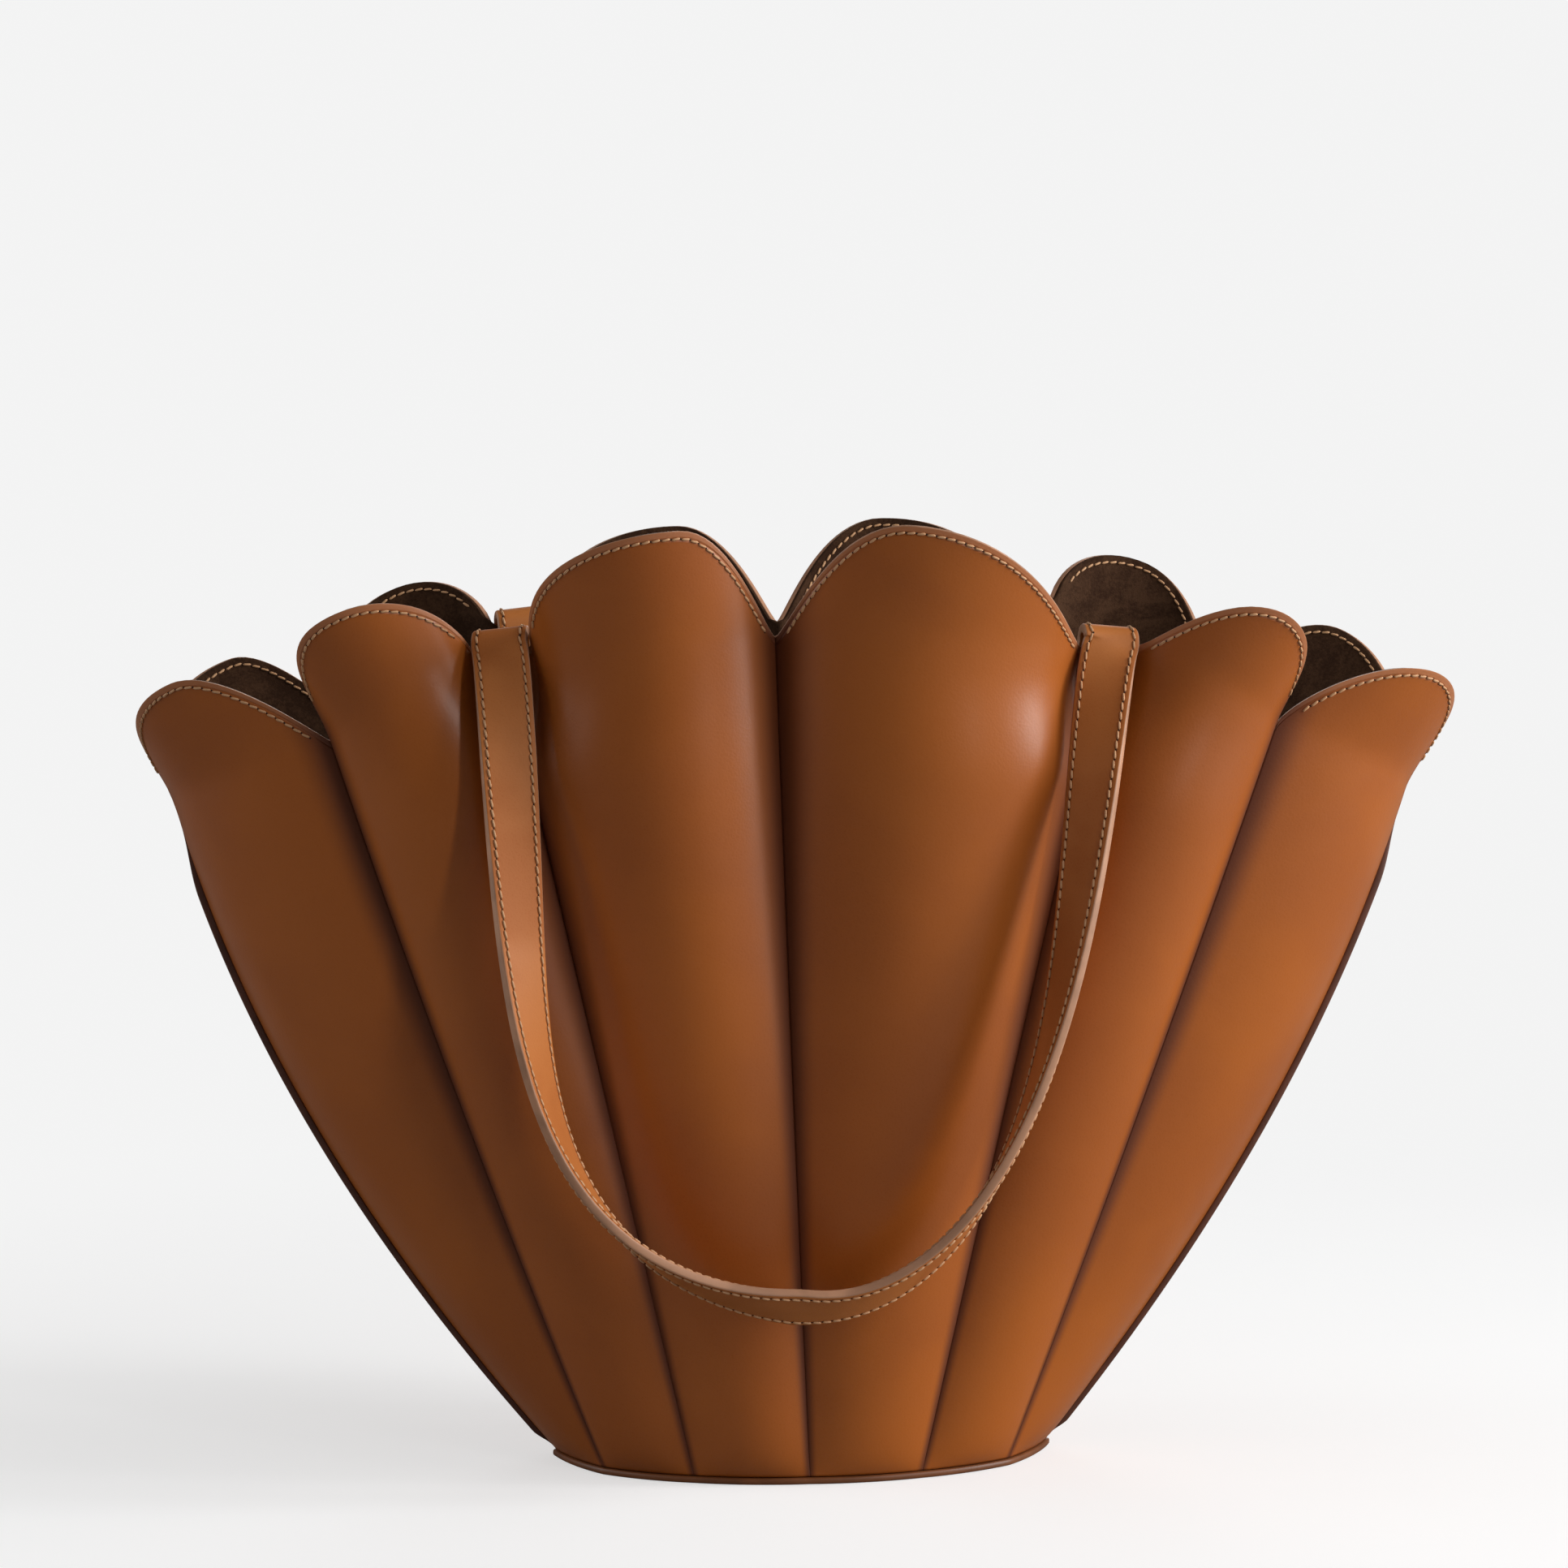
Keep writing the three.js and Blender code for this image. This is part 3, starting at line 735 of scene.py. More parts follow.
@made_once("materials", "glazed_calf")
def outer_leather(name):
    """Smooth calf with a fine grain, glazed and a little darker where it took more dye, with painted shade
    deep in the folds between petals.
    """
    material, tree, shader = new_material(name)
    grain = use_group(tree, leather_grain(), grain_scale=1250.0, tone_scale=13.0)
    base = mix_colour(tree, grain.outputs["Tone"], colours().tan_deep, colours().tan)
    base = mix_colour(tree, maths(tree, "MULTIPLY", grain.outputs["Pores"], 0.16), base, (0.5, 0.15, 0.03))
    band = use_group(tree, rim_band(), line=2.6, half_groove=0.9)
    link(tree, map_share(tree, "Y", 100.0), band.inputs["Distance"])
    base = mix_colour(tree, maths(tree, "MULTIPLY", band.outputs["Margin"], 0.35), base, colours().edge)
    base = mix_colour(tree, maths(tree, "MULTIPLY", band.outputs["Groove"], 0.45), base, colours().tan_deep)
    # Painted shade: the leather darkens to near black towards the seams, where the valleys between petals
    # lie in shade.
    fold_shade = map_share(tree, "X", 0.88, "Fold")
    base = mix_colour(tree, fold_shade, base, colours().fold_shade)
    link(tree, base, shader.inputs["Base Color"])
    glaze = ramp(tree, grain.outputs["Tone"], 0.0, 1.0, 0.36, 0.31)
    link(tree, maths(tree, "ADD", glaze, maths(tree, "MULTIPLY", fold_shade, 0.35)), shader.inputs["Roughness"])
    normal = bump(tree, grain.outputs["Height"], 0.3, 0.00006)
    normal = bump(tree, maths(tree, "SUBTRACT", 1.0, band.outputs["Groove"]), 0.5, 0.0005, normal)
    link(tree, normal, shader.inputs["Normal"])
    shader.inputs["Specular IOR Level"].default_value = 0.45
    return material


@made_once("materials", "strap_calf")
def strap_leather(name):
    """The straps' calf: lighter and more matt, with a groove under each line of stitches."""
    material, tree, shader = new_material(name)
    grain = use_group(tree, leather_grain(), grain_scale=1350.0, tone_scale=22.0)
    base = mix_colour(tree, grain.outputs["Tone"], colours().strap_deep, colours().strap)
    base = mix_colour(tree, maths(tree, "MULTIPLY", grain.outputs["Pores"], 0.14), base, (0.6, 0.25, 0.08))
    across = maths(tree, "ABSOLUTE", map_share(tree, "X", 1000.0), 0.0)
    inset = maths(tree, "SUBTRACT", strap().width / 2 * 1000, across)
    band = use_group(tree, rim_band(), line=2.0, half_groove=0.75)
    link(tree, inset, band.inputs["Distance"])
    base = mix_colour(tree, maths(tree, "MULTIPLY", band.outputs["Groove"], 0.4), base, colours().strap_deep)
    link(tree, base, shader.inputs["Base Color"])
    link(tree, ramp(tree, grain.outputs["Tone"], 0.0, 1.0, 0.6, 0.5), shader.inputs["Roughness"])
    normal = bump(tree, grain.outputs["Height"], 0.3, 0.00007)
    normal = bump(tree, maths(tree, "SUBTRACT", 1.0, band.outputs["Groove"]), 0.5, 0.0004, normal)
    link(tree, normal, shader.inputs["Normal"])
    shader.inputs["Specular IOR Level"].default_value = 0.3
    return material


def painted_edge(name, tint, roughness):
    """Edge paint, rubbed smooth, with a faint unevenness along it."""
    found = bpy.data.materials.get(name)
    if found:
        return found
    material, tree, shader = new_material(name)
    grain = use_group(tree, leather_grain(), grain_scale=900.0, tone_scale=60.0)
    darker = tuple(value * 0.72 for value in tint)
    link(tree, mix_colour(tree, grain.outputs["Tone"], darker, tint), shader.inputs["Base Color"])
    link(tree, bump(tree, grain.outputs["Height"], 0.2, 0.00004), shader.inputs["Normal"])
    shader.inputs["Roughness"].default_value = roughness
    return material


@made_once("materials", "suede_lining")
def suede_lining(name):
    """Dark brown suede with a mottled nap."""
    material, tree, shader = new_material(name)
    nap = use_group(tree, suede_nap(), nap_scale=1900.0, brush_scale=75.0)
    base = mix_colour(tree, nap.outputs["Brushed"], colours().suede, colours().suede_light)
    link(tree, base, shader.inputs["Base Color"])
    link(tree, bump(tree, nap.outputs["Height"], 0.55, 0.0004), shader.inputs["Normal"])
    set_inputs(shader, {"Roughness": 0.95, "Specular IOR Level": 0.15})
    set_inputs(shader, {"Sheen Weight": 0.1, "Sheen Roughness": 0.5, "Sheen Tint": (0.6, 0.42, 0.3, 1.0)})
    return material


@made_once("materials", "thread")
def thread(name):
    """Twisted waxed thread."""
    material, tree, shader = new_material(name)
    place_of = add_node(tree, "ShaderNodeTexCoord").outputs["Object"]
    strands = noise(tree, place_of, 3500.0, 1.0)
    darker = tuple(value * 0.6 for value in colours().thread)
    tint = mix_colour(tree, strands.outputs["Fac"], darker, colours().thread)
    link(tree, tint, shader.inputs["Base Color"])
    link(tree, bump(tree, strands.outputs["Fac"], 0.4, 0.0001), shader.inputs["Normal"])
    shader.inputs["Roughness"].default_value = 0.6
    return material


# Painted shade of the needle holes: dark bars set where the holes lie in shade.
@made_once("materials", "needle_hole")
def needle_hole(name):
    material, tree, shader = new_material(name)
    place_of = add_node(tree, "ShaderNodeTexCoord").outputs["Object"]
    depth = noise(tree, place_of, 2500.0, 1.0)
    darker = tuple(value * 0.5 for value in colours().hole_shade)
    link(tree, mix_colour(tree, depth.outputs["Fac"], darker, colours().hole_shade), shader.inputs["Base Color"])
    shader.inputs["Roughness"].default_value = 0.9
    return material


def rim_paint():
    return painted_edge("rim_paint", colours().edge, 0.5)


def dark_paint():
    return painted_edge("dark_paint", colours().dark_edge, 0.42)


def piping_leather():
    return painted_edge("piping_leather", colours().piping, 0.45)


# Straps


def hanging_loop(left, right, count):
    """The strap's middle line between its two folds, in places an even length apart."""
    size = strap()
    raw = (1 - np.cos(np.linspace(0, math.pi, 3001))) / 2
    turn = math.pi * raw
    first = raw < 0.5
    fall = np.power(np.maximum(np.sin(turn), 0), np.where(first, size.bend_left, size.bend_right))
    lean = np.where(first, size.lean_left, size.lean_right) * np.power(fall, size.lean)
    across = -np.cos(turn) * (1 - lean)
    middle = left + (right - left) * ((across + 1) / 2)[:, None]
    middle[:, 1] -= size.stand_off * (1 - np.exp(-size.settle * fall))
    middle[:, 2] -= size.drop * fall
    arc = run_along(middle)
    return spread_over(np.linspace(0, 1, count + 1) * arc[-1], arc, middle)


def strap_seat(index, v, facing):
    """The seat of a strap, turned so that outwards is -Y, and how far its halves fall back beside it."""
    flip = np.array([1, -facing, 1])
    out = seam_out(index, v)
    turned = [np.linalg.norm(np.cross(chord_normal(petal, v), out)) for petal in (index - 1, index)]
    return seam_point(index, v) * flip, out * flip, max(turned) * strap().width / 2


def fold_stations(index, side, facing, steps):
    """A fold over the rim, from the end of the tab to the outside. side is -1 at the left end."""
    size = strap()
    seat, seat_direction, fall_back = strap_seat(index, 1.0, facing)
    reach = shape().fit + size.thickness / 2
    inside = wall_depth() + reach + fall_back
    radius = (reach + inside) / 2
    width = unit(np.array([-side * seat_direction[1], side * seat_direction[0], -size.fold_tilt]))
    stations = []
    for down in (size.tab, size.tab * 0.75, size.tab / 2, size.tab / 4):
        point, out, _ = strap_seat(index, 1 - down / seat[2], facing)
        stations.append((point - out * inside, width))
    for step in range(steps + 1):
        turn = math.pi * step / steps
        point = seat + seat_direction * (reach - radius - radius * math.cos(turn))
        rise = shape().fit + size.fold_tilt * size.width / 2 + radius * math.sin(turn)
        point = point + np.array([0, 0, rise])
        stations.append((point, width))
    return stations


def even_and_soft(points, widths, step):
    """The same places an even step apart, with their bends and turns softened."""
    arc = run_along(points)
    even = np.linspace(0, arc[-1], int(round(arc[-1] / step)) + 1)
    tables = []
    for table, passes in ((points, 1), (widths, 4)):
        spread = spread_over(even, arc, table)
        for _ in range(passes):
            spread[1:-1] = (spread[:-2] + 2 * spread[1:-1] + spread[2:]) / 4
        tables.append(spread)
    return tables


def strap_stations(handle, loop_steps=220, fold_steps=20):
    """Places along a strap with the directions of its width and of its outer face."""
    size = strap()
    facing = handle["facing"]
    start = fold_stations(handle["left"], -1, facing, fold_steps)
    end = fold_stations(handle["right"], 1, facing, fold_steps)[::-1]
    places = hanging_loop(start[-1][0], end[0][0], loop_steps)
    stations = list(start)
    for step in range(1, loop_steps):
        t = step / loop_steps
        tangent = unit(places[step + 1] - places[step - 1])
        outward = unit(np.cross([0, 1, 0], tangent))
        front = np.cross(outward, tangent)
        delay = size.twist_left if t < 0.5 else size.twist_right
        twist = size.twist * math.pow(1 - abs(2 * t - 1), delay)
        stations.append((places[step], outward * math.cos(twist) + front * math.sin(twist)))
    stations += end
    points = np.array([station[0] for station in stations])
    widths = np.array([station[1] for station in stations])
    points, widths = even_and_soft(points, widths, 0.0012)
    tangents = np.empty_like(points)
    tangents[1:-1] = points[2:] - points[:-2]
    tangents[0] = points[1] - points[0]
    tangents[-1] = points[-1] - points[-2]
    tangents = unit(tangents)
    faces = unit(np.cross(widths, tangents))
    sides = np.cross(tangents, faces)
    flip = np.array([1, -facing, 1])
    return points * flip, sides * flip, faces * flip


def section_runs():
    """Lengths of the strap's section, face, corner, edge and corner by turns, from its upper left."""
    size = strap()
    radius = size.edge_round
    corner = math.pi / 2 * radius
    return [size.width - 2 * radius, corner, size.thickness - 2 * radius, corner] * 2


def strap_outline(places):
    """The strap's rounded section, as distances across and out at shares of the way round it."""
    size = strap()
    half = size.width / 2
    deep = size.thickness / 2
    radius = size.edge_round
    runs = section_runs()
    corners = [(half - radius, deep - radius), (half - radius, radius - deep)]
    corners += [(radius - half, radius - deep), (radius - half, deep - radius)]
    starts = [(radius - half, deep), (half, deep - radius), (half - radius, -deep), (-half, radius - deep)]
    ways = [(1, 0), (0, -1), (-1, 0), (0, 1)]
    ends = np.concatenate([[0], np.cumsum(runs)])
    spots = []
    for spot in places * ends[-1]:
        run = min(int(np.searchsorted(ends, spot, side="right")), len(runs)) - 1
        past = spot - ends[run]
        side = run // 2
        if run % 2:
            centre = corners[side]
            angle = math.pi / 2 * (1 - side) - past / radius
            spots.append((centre[0] + radius * math.cos(angle), centre[1] + radius * math.sin(angle)))
        else:
            start = starts[side]
            way = ways[side]
            spots.append((start[0] + way[0] * past, start[1] + way[1] * past))
    return np.array(spots)


def outline_shares(flat_steps=12, corner_steps=3, edge_steps=2):
    """Shares of the way round the section at which it gets a point."""
    runs = section_runs()
    counts = [flat_steps, corner_steps, edge_steps, corner_steps] * 2
    whole = sum(runs)
    shares = [0.0]
    for run, count in zip(runs, counts):
        shares += [shares[-1] + run / count / whole * step for step in range(1, count + 1)]
    return np.array(shares)


def strap_mesh(handle):
    """The strap as a closed bar, swept along its stations, with painted edges."""
    points, sides, faces = strap_stations(handle)
    shares = outline_shares()
    outline = strap_outline(shares)
    arc = run_along(points)
    bm = bmesh.new()
    verts, places = grid(bm, len(shares) - 1, len(points) - 1)
    columns = np.round(places[:, 0] * (len(shares) - 1)).astype(int)
    rows = np.round(places[:, 1] * (len(points) - 1)).astype(int)
    across = outline[columns, 0]
    deep = outline[columns, 1]
    place(verts, points[rows] + sides[rows] * across[:, None] + faces[rows] * deep[:, None])
    write_map(bm, verts, np.stack([across, arc[rows]], axis=-1))
    flat = strap().width / 2 - strap().edge_round * 0.6
    known = dict(zip(verts, across))
    for face in bm.faces:
        middle = sum(known[vert] for vert in face.verts) / len(face.verts)
        face.material_index = 1 if abs(middle) > flat else 0
    for face in close_bar(bm):
        face.material_index = 1
    return bm


# Stitches


def stitch_row(points, tangents, normals, pitch):
    """Places an even pitch apart along a line, with its direction and the surface's normal there."""
    arc = run_along(points)
    count = max(2, int(round(arc[-1] / pitch)))
    spots = (np.arange(count) + 0.5) / count * arc[-1]
    places = spread_over(spots, arc, points)
    return places, unit(spread_over(spots, arc, tangents)), unit(spread_over(spots, arc, normals))


def bars(row, run, thick, proud, slant):
    """Centres and scaled axes of one small bar on each place of a row."""
    points, tangents, normals = row
    along = unit(tangents * math.cos(slant) + np.cross(normals, tangents) * math.sin(slant))
    across = unit(np.cross(normals, along))
    up = np.cross(along, across)
    axes = np.stack([across * thick / 2, up * thick / 2, along * run / 2], axis=1)
    return points + normals * proud, axes


def stitch_bars(row, slant):
    """The threads of a row, and dark bars of painted shade in the needle holes between them."""
    size = bpy.context.scene.tote_stitching
    threads = bars(row, size.pitch * 0.82, size.thread, size.thread * 0.2, slant)
    points, tangents, normals = row
    between = (points + tangents * (size.pitch / 2), tangents, normals)
    # Dark bars of painted shade, sunk a little, where the needle holes are.
    hole_shades = bars(between, size.thread * 0.9, size.thread * 0.75, -size.thread * 0.2, 0)
    return threads, hole_shades


def bar_rows(count):
    """Equal rounded bars of unit size, one after the other, doubled from a single one."""
    bm = bmesh.new()
    bmesh.ops.create_cone(bm, cap_ends=True, segments=6, radius1=1, radius2=1, depth=2)
    caps = list({edge for face in bm.faces if len(face.verts) == 6 for edge in face.edges})
    bmesh.ops.bevel(bm, geom=caps, offset=0.4, segments=1, profile=0.5, affect="EDGES", material=-1)
    single = bpy.data.meshes.new("single_bar")
    bm.to_mesh(single)
    bm.clear()
    bm.free()
    bm = bmesh.new()
    bm.from_mesh(single)
    bpy.data.meshes.remove(single)
    tables = (bm.verts, bm.edges, bm.faces)
    sizes = [len(table) for table in tables]
    template = np.array([vert.co for vert in bm.verts])
    have = 1
    while have < count:
        more = min(have, count - have)
        chosen = []
        for table, size in zip(tables, sizes):
            table.ensure_lookup_table()
            chosen += table[: more * size]
        bmesh.ops.duplicate(bm, geom=chosen)
        have += more
    made = np.array([vert.co for vert in bm.verts]).reshape(count, -1, 3)
    if not np.allclose(made, template):
        raise RuntimeError("the copies of the bar are out of order")
    return bm, template, sizes[2]


def sewn_piece(name, stitches):
    """One object with all threads in the first material and all needle holes, as dark bars of painted shade,
    in the second.
    """
    groups = [[stitch[kind] for stitch in stitches] for kind in (0, 1)]
    centres = np.concatenate([part[0] for group in groups for part in group])
    axes = np.concatenate([part[1] for group in groups for part in group])
    threads = sum(len(part[0]) for part in groups[0])
    bm, template, faces = bar_rows(len(centres))
    piece = new_piece(name, bm, [thread(), needle_hole()])
    spots = np.einsum("vk,nkc->nvc", template, axes) + centres[:, None]
    piece.data.vertices.foreach_set("co", spots.astype(np.float32).ravel())
    material = (np.arange(len(centres)) >= threads).astype(np.int32)
    piece.data.polygons.foreach_set("material_index", np.repeat(material, faces))
    piece.data.update()
    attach(piece, "root")


def rim_row(index, depth, margin):
    """The line of stitches a margin below the rim of a petal, outside at no depth or inside."""
    size = bpy.context.scene.tote_stitching
    _, _, _, flat_start, flat_end, _, _, _, whole = cross_section(index, 1.0)
    start_margin = size.start / whole
    first = flat_start / whole + start_margin
    last = 1 - flat_end / whole - start_margin
    off_seam = 0.004
    u = np.linspace(first, last, RIM_STEPS)
    w = np.ones_like(u)
    rim = petal_point(index, u, w)
    slope = np.gradient(rim, axis=0)
    across, rising = petal_slopes(index, u, w)
    normal = unit(np.cross(across, rising))
    down = unit(np.cross(slope, normal)) * margin
    for _ in range(3):
        base = np.stack([across, rising], axis=-1)
        moves = np.stack([np.linalg.lstsq(base[k], down[k], rcond=None)[0] for k in range(len(u))])
        line_u = np.clip(u + moves[:, 0], off_seam, 1 - off_seam)
        line_w = np.clip(w + moves[:, 1], 0, 1)
        across, rising = petal_slopes(index, (u + line_u) / 2, (w + line_w) / 2)
    across, rising = petal_slopes(index, line_u, line_w)
    normal = unit(np.cross(across, rising))
    points = petal_point(index, line_u, line_w)
    if depth > 0:
        points = wall_points(index, line_u, line_w, depth)
        normal = -normal
    tangents = unit(np.gradient(points, axis=0))
    return stitch_row(points, tangents, normal, size.pitch)


# Operators


class TotePetals(bpy.types.Operator):
    """Builds the twelve outer petals, with painted rims"""

    bl_idname = "tote.petals"
    bl_label = "Petals"

    def execute(self, context):
        for index, petal in enumerate(PETALS):
            bm = wall_shell(index, 0.0, shape().leather, LEATHER_STEPS, shape().rim_round)
            piece = new_piece(petal["name"] + "_leather", bm, [outer_leather(), rim_paint()])
            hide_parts(petal["name"])
            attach(piece, "root")
        return {"FINISHED"}


class ToteLinings(bpy.types.Operator):
    """Builds the twelve suede linings inside the petals"""

    bl_idname = "tote.linings"
    bl_label = "Linings"

    def execute(self, context):
        for index, petal in enumerate(PETALS):
            name = petal["name"].replace("petal", "lining")
            outside = shape().leather + shape().fit
            bm = wall_shell(index, outside, wall_depth(), LINING_STEPS, shape().lining_round)
            piece = new_piece(name + "_suede", bm, [suede_lining(), suede_lining()])
            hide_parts(name)
            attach(piece, "root")
        dress("base_lining", suede_lining())
        return {"FINISHED"}


class ToteHandles(bpy.types.Operator):
    """Builds the two hanging strap handles"""

    bl_idname = "tote.handles"
    bl_label = "Handles"

    def execute(self, context):
        for handle in HANDLES:
            piece = new_piece(handle["name"] + "_strap", strap_mesh(handle), [strap_leather(), rim_paint()])
            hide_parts(handle["name"])
            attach(piece, "root")
        return {"FINISHED"}


class ToteSideSeams(bpy.types.Operator):
    """Builds the raised strip down each side seam"""

    bl_idname = "tote.side_seams"
    bl_label = "Side seams"

    def execute(self, context):
        size = shape()
        for name, index in SIDE_SEAMS.items():
            bm = bmesh.new()
            verts, places = grid(bm, *STRIP_STEPS)
            tip = size.seam_tip / (SEAMS[index]["height"] * size.valley_height)
            v = size.seam_from + (size.seam_to - size.seam_from) * drawn(places[:, 1], 0.08)
            near_tip = np.minimum(v - size.seam_from, (size.seam_to - v) / size.seam_taper) / tip
            scale = size.seam_point + (1 - size.seam_point) * smooth_step(near_tip, 0, 1)
            turn = 2 * math.pi * places[:, 0]
            out = seam_out(index, v)
            across = squared_off(np.cos(turn), 0.5) * size.seam_width / 2
            thick = size.seam_proud + size.seam_sunk
            deep = (1 + squared_off(np.sin(turn), 0.5)) * thick / 2
            point = seam_point(index, v) + out * (deep * scale - size.seam_sunk)[:, None]
            place(verts, point + sideways(out) * (across * scale)[:, None])
            close_bar(bm)
            piece = new_piece(name + "_strip", bm, [dark_paint()])
            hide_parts(name)
            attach(piece, "root")
        return {"FINISHED"}


class ToteBase(bpy.types.Operator):
    """Builds the piping round the base and finishes the bottom"""

    bl_idname = "tote.base"
    bl_label = "Base"

    def execute(self, context):
        size = shape()
        around = PIPING_PER_PETAL * len(PETALS)
        bm = bmesh.new()
        verts, places = grid(bm, PIPING_ROUND, around)
        spots = np.round(places[:, 1] * around).astype(int) % around
        turn = 2 * math.pi * places[:, 0]
        across = squared_off(np.cos(turn), 0.6) * size.piping_width / 2
        height = (1 + squared_off(np.sin(turn), 0.6)) * size.piping_height / 2
        points = np.zeros((len(verts), 3))
        for index in range(len(PETALS)):
            mine = spots // PIPING_PER_PETAL == index
            u = (spots[mine] % PIPING_PER_PETAL) / PIPING_PER_PETAL
            w = np.zeros_like(u)
            nudge = 0.01
            ahead = petal_point(index, np.minimum(1, u + nudge), w)
            slope = ahead - petal_point(index, np.maximum(0, u - nudge), w)
            out = unit(np.stack([slope[:, 1], -slope[:, 0], 0 * u], axis=-1))
            out = np.where((u < SAME_SHARE)[:, None], seam_out(index, w), out)
            reach = size.piping_proud - size.piping_width / 2 + across[mine]
            point = petal_point(index, u, w) + out * reach[:, None]
            point[:, 2] = height[mine]
            points[mine] = point
        place(verts, points)
        bmesh.ops.remove_doubles(bm, verts=bm.verts, dist=WELD)
        bmesh.ops.recalc_face_normals(bm, faces=bm.faces)
        piece = new_piece("base_piping_bead", bm, [piping_leather()])
        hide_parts("base_piping")
        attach(piece, "root")
        dress("base_panel", piping_leather())
        return {"FINISHED"}


class ToteStitches(bpy.types.Operator):
    """Sews the rims, inside and outside, and both edges of the straps"""

    bl_idname = "tote.stitches"
    bl_label = "Stitches"

    def execute(self, context):
        size = context.scene.tote_stitching
        lines = (("rim_stitches", 0.0, "outer_leather"), ("lining_stitches", wall_depth(), "suede"))
        for side in ("front", "back"):
            for name, depth, slot in lines:
                stitches = []
                for index, petal in enumerate(PETALS):
                    if petal["name"].startswith(side):
                        stitches.append(stitch_bars(rim_row(index, depth, size.margin), size.slant))
                sewn_piece(f"{side}_{name}", stitches)
        for handle in HANDLES:
            stitches = []
            points, sides, faces = strap_stations(handle)
            inset = strap().width / 2 - size.strap_margin
            for side in (-1, 1):
                for deep in (-1, 1):
                    line = points + sides * (side * inset) + faces * (deep * strap().thickness / 2)
                    tangents = unit(np.gradient(line, axis=0))
                    row = stitch_row(line, tangents, faces * deep, size.pitch)
                    stitches.append(stitch_bars(row, size.slant * deep))
            sewn_piece(handle["name"] + "_stitches", stitches)
        return {"FINISHED"}


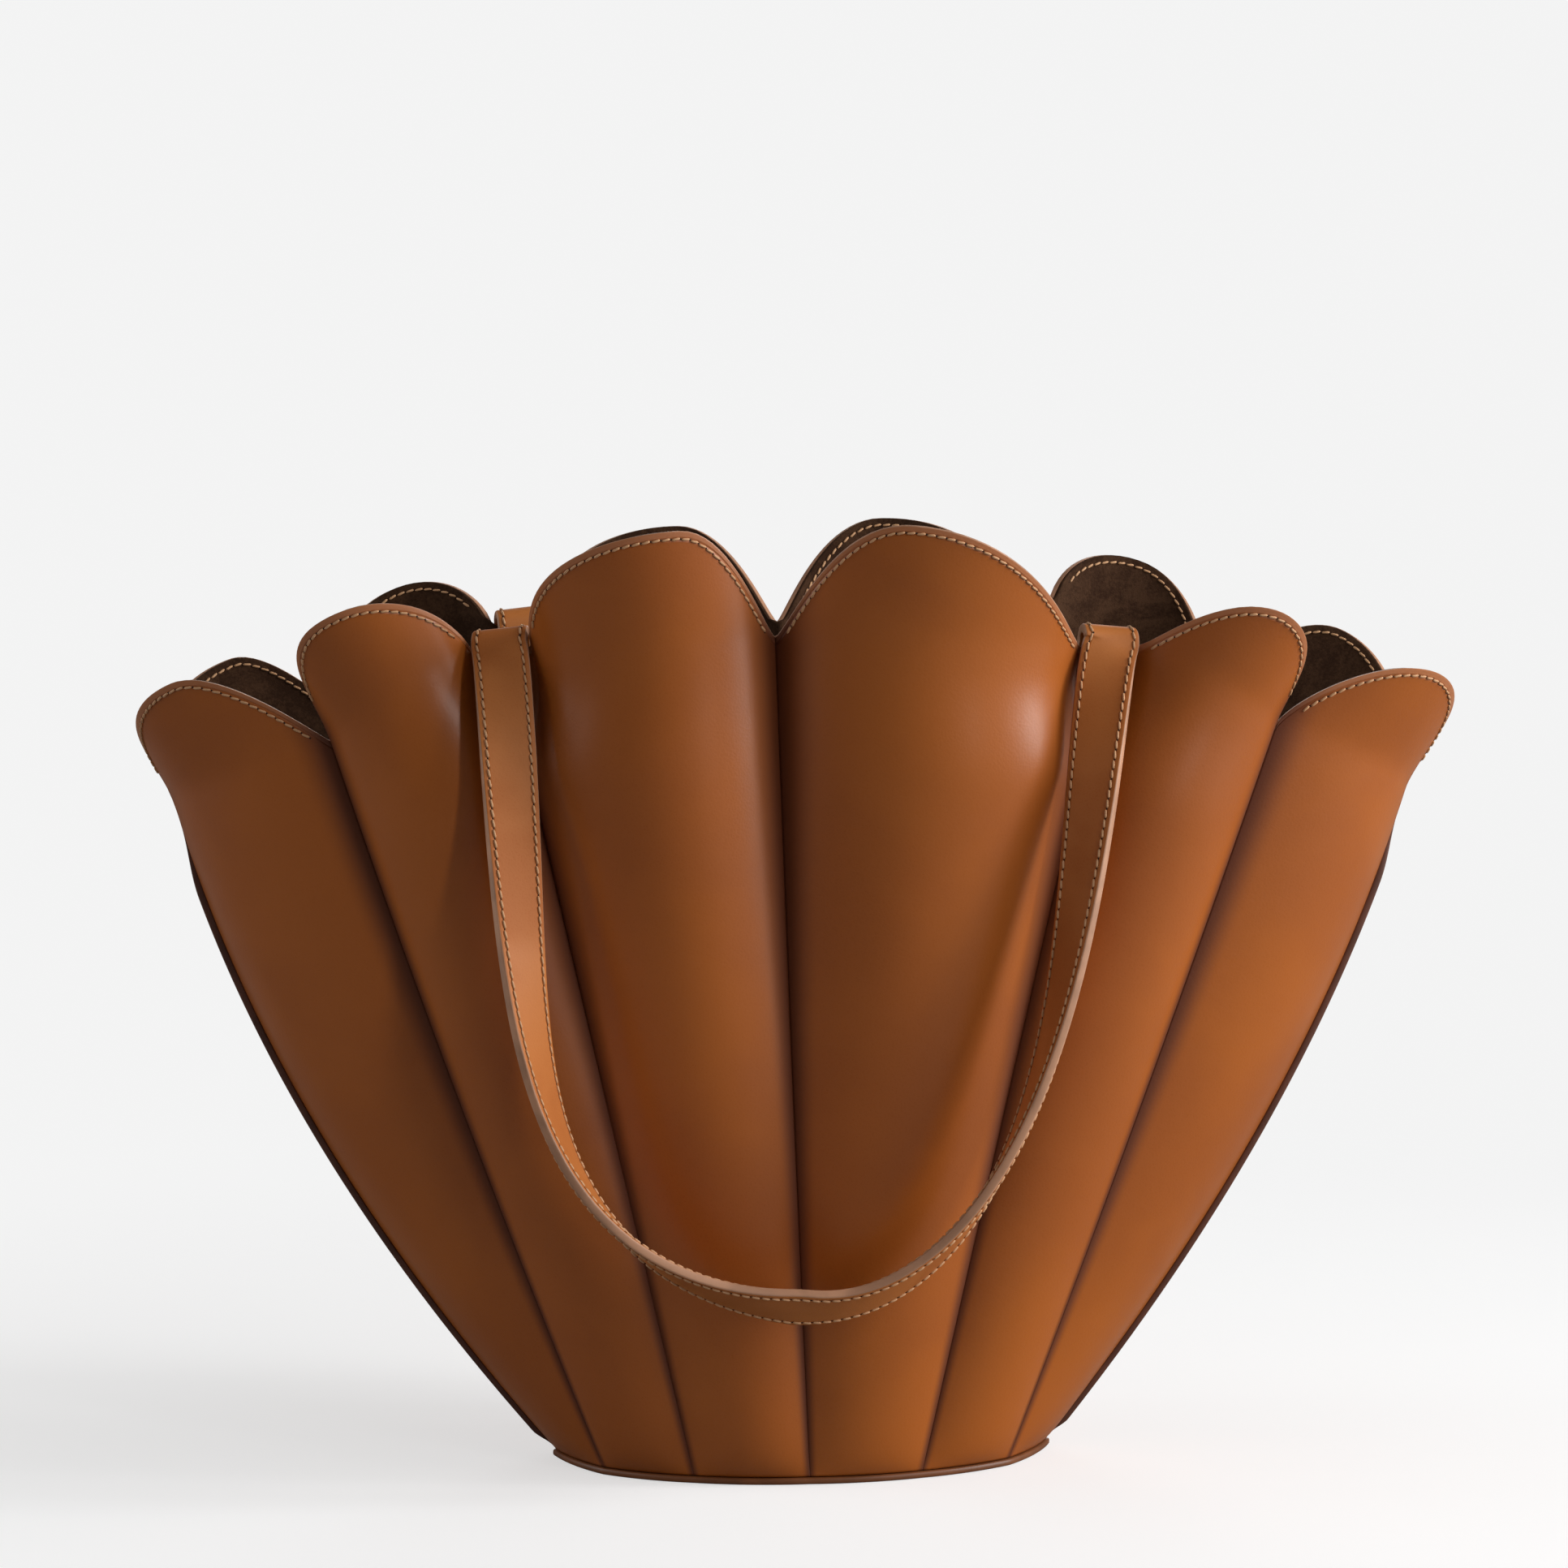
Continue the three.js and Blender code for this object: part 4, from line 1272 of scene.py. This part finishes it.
class ToteStageMaker(bpy.types.Operator):
    """Sets the camera, the pale floor and the soft light"""

    bl_idname = "tote.stage"
    bl_label = "Stage"

    def execute(self, context):
        self.make_camera(context)
        self.make_paper(context)
        self.make_lights(context)
        return {"FINISHED"}

    def make_camera(self, context):
        stage = context.scene.tote_stage
        data = bpy.data.cameras.new("camera")
        camera = bpy.data.objects.new("camera", data)
        context.scene.collection.objects.link(camera)
        context.scene.camera = camera
        data.lens = stage.lens
        data.sensor_width = 36
        data.clip_end = 60
        a = stage.azimuth
        p = stage.pitch
        forward = Vector((-math.sin(a) * math.cos(p), math.cos(a) * math.cos(p), -math.sin(p)))
        right = forward.cross(Vector((0, 0, 1))).normalized()
        up = right.cross(forward)
        r = stage.roll
        turned_right = right * math.cos(r) - up * math.sin(r)
        turned_up = right * math.sin(r) + up * math.cos(r)
        rotation = Matrix((turned_right, turned_up, -forward)).transposed()
        sideways_by = stage.distance * math.sin(a) + stage.aside
        place_of = Vector((sideways_by, -stage.distance * math.cos(a), stage.height))
        camera.matrix_world = Matrix.Translation(place_of) @ rotation.to_4x4()

    def make_paper(self, context):
        """A floor that runs back and curves up into a wall."""
        bm = bmesh.new()
        verts, places = grid(bm, 2, 48)
        bend = 1.2
        back = 2.2
        front = 4.0
        whole = 9.0
        wide = 24
        run = places[:, 1] * whole - front
        points = np.zeros((len(verts), 3))
        points[:, 0] = (places[:, 0] - 0.5) * wide
        arc = np.clip((run - back) / bend, 0, math.pi / 2)
        points[:, 1] = np.minimum(run, back) + bend * np.sin(arc)
        points[:, 2] = bend * (1 - np.cos(arc)) + np.maximum(0, run - back - bend * math.pi / 2)
        place(verts, points)
        bmesh.ops.recalc_face_normals(bm, faces=bm.faces)
        paper = new_piece("paper_floor", bm, [self.paper_material(context)])

    def paper_material(self, context):
        """Matt paper. The camera sees it evenly lit, apart from the shadow round the bag."""
        material, tree, shader = new_material("paper")
        tint = context.scene.tote_stage.paper
        set_inputs(shader, {"Base Color": (0.3, 0.3, 0.3, 1.0), "Roughness": 0.9, "Specular IOR Level": 0.1})
        shadowed = add_node(tree, "ShaderNodeBsdfDiffuse")
        shadowed.inputs["Color"].default_value = (0.55, 0.55, 0.55, 1.0)
        lifted = add_node(tree, "ShaderNodeEmission")
        set_inputs(lifted, {"Color": (*tint, 1.0), "Strength": 0.6})
        near = add_node(tree, "ShaderNodeAddShader")
        link(tree, shadowed.outputs["BSDF"], near.inputs[0])
        link(tree, lifted.outputs["Emission"], near.inputs[1])
        far = add_node(tree, "ShaderNodeEmission")
        far.inputs["Color"].default_value = (*tint, 1.0)
        place_of = add_node(tree, "ShaderNodeTexCoord").outputs["Object"]
        apart = add_node(tree, "ShaderNodeVectorMath", operation="LENGTH")
        link(tree, place_of, apart.inputs[0])
        seen = add_node(tree, "ShaderNodeMixShader")
        link(tree, ramp(tree, apart.outputs["Value"], 0.2, 0.75), seen.inputs["Fac"])
        link(tree, near.outputs["Shader"], seen.inputs[1])
        link(tree, far.outputs["Emission"], seen.inputs[2])
        rays = add_node(tree, "ShaderNodeLightPath")
        both = add_node(tree, "ShaderNodeMixShader")
        link(tree, rays.outputs["Is Camera Ray"], both.inputs["Fac"])
        link(tree, shader.outputs["BSDF"], both.inputs[1])
        link(tree, seen.outputs["Shader"], both.inputs[2])
        link(tree, both.outputs["Shader"], tree.nodes["Material Output"].inputs["Surface"])
        return material

    def make_lights(self, context):
        world = bpy.data.worlds.new("soft_room")
        context.scene.world = world
        world.use_nodes = True
        tree = world.node_tree
        background = tree.nodes["Background"]
        background.inputs["Color"].default_value = (1.0, 1.0, 1.0, 1.0)
        rays = add_node(tree, "ShaderNodeLightPath")
        seen = maths(tree, "MULTIPLY", rays.outputs["Is Camera Ray"], 0.78)
        link(tree, maths(tree, "ADD", seen, 0.12), background.inputs["Strength"])
        for name, values in LIGHTS.items():
            self.add_light(context, name, *values)
        context.scene.view_settings.view_transform = "Standard"

    def add_light(self, context, name, azimuth, height, width, tall, power):
        """A soft box that faces the bag."""
        data = bpy.data.lights.new(name, "AREA")
        data.shape = "RECTANGLE"
        data.size = width
        data.size_y = tall
        data.energy = power
        light = bpy.data.objects.new(name, data)
        context.scene.collection.objects.link(light)
        turn = math.radians(azimuth)
        at = Vector((LIGHT_DISTANCE * math.sin(turn), -LIGHT_DISTANCE * math.cos(turn), height))
        facing = (Vector((0, 0, AIM_HEIGHT)) - at).to_track_quat("-Z", "Y")
        light.matrix_world = Matrix.Translation(at) @ facing.to_matrix().to_4x4()


class TotePanel(bpy.types.Panel):
    """Lists the sizes, the colours and the steps"""

    bl_idname = "VIEW3D_PT_tote"
    bl_label = "Tote bag"
    bl_space_type = "VIEW_3D"
    bl_region_type = "UI"
    bl_category = "Tote"

    def draw(self, context):
        for group in GROUPS:
            box = self.layout.box()
            for prop in group.__annotations__:
                box.prop(getattr(context.scene, GROUPS[group]), prop)
        for operator in STEPS:
            self.layout.operator(operator.bl_idname)


GROUPS = {
    ToteShape: "tote_shape",
    ToteStrap: "tote_strap",
    ToteStitching: "tote_stitching",
    ToteColours: "tote_colours",
    ToteStage: "tote_stage",
}
STEPS = [TotePetals, ToteLinings, ToteHandles, ToteSideSeams, ToteBase, ToteStitches, ToteStageMaker]


def register():
    for group, name in GROUPS.items():
        bpy.utils.register_class(group)
        setattr(bpy.types.Scene, name, bpy.props.PointerProperty(type=group))
    for cls in [*STEPS, TotePanel]:
        bpy.utils.register_class(cls)


def unregister():
    for cls in reversed([*STEPS, TotePanel]):
        bpy.utils.unregister_class(cls)
    for group, name in GROUPS.items():
        delattr(bpy.types.Scene, name)
        bpy.utils.unregister_class(group)


def main():
    register()
    bpy.ops.tote.petals()
    bpy.ops.tote.linings()
    bpy.ops.tote.handles()
    bpy.ops.tote.side_seams()
    bpy.ops.tote.base()
    bpy.ops.tote.stitches()
    bpy.ops.tote.stage()


if __name__ == "__main__":
    main()
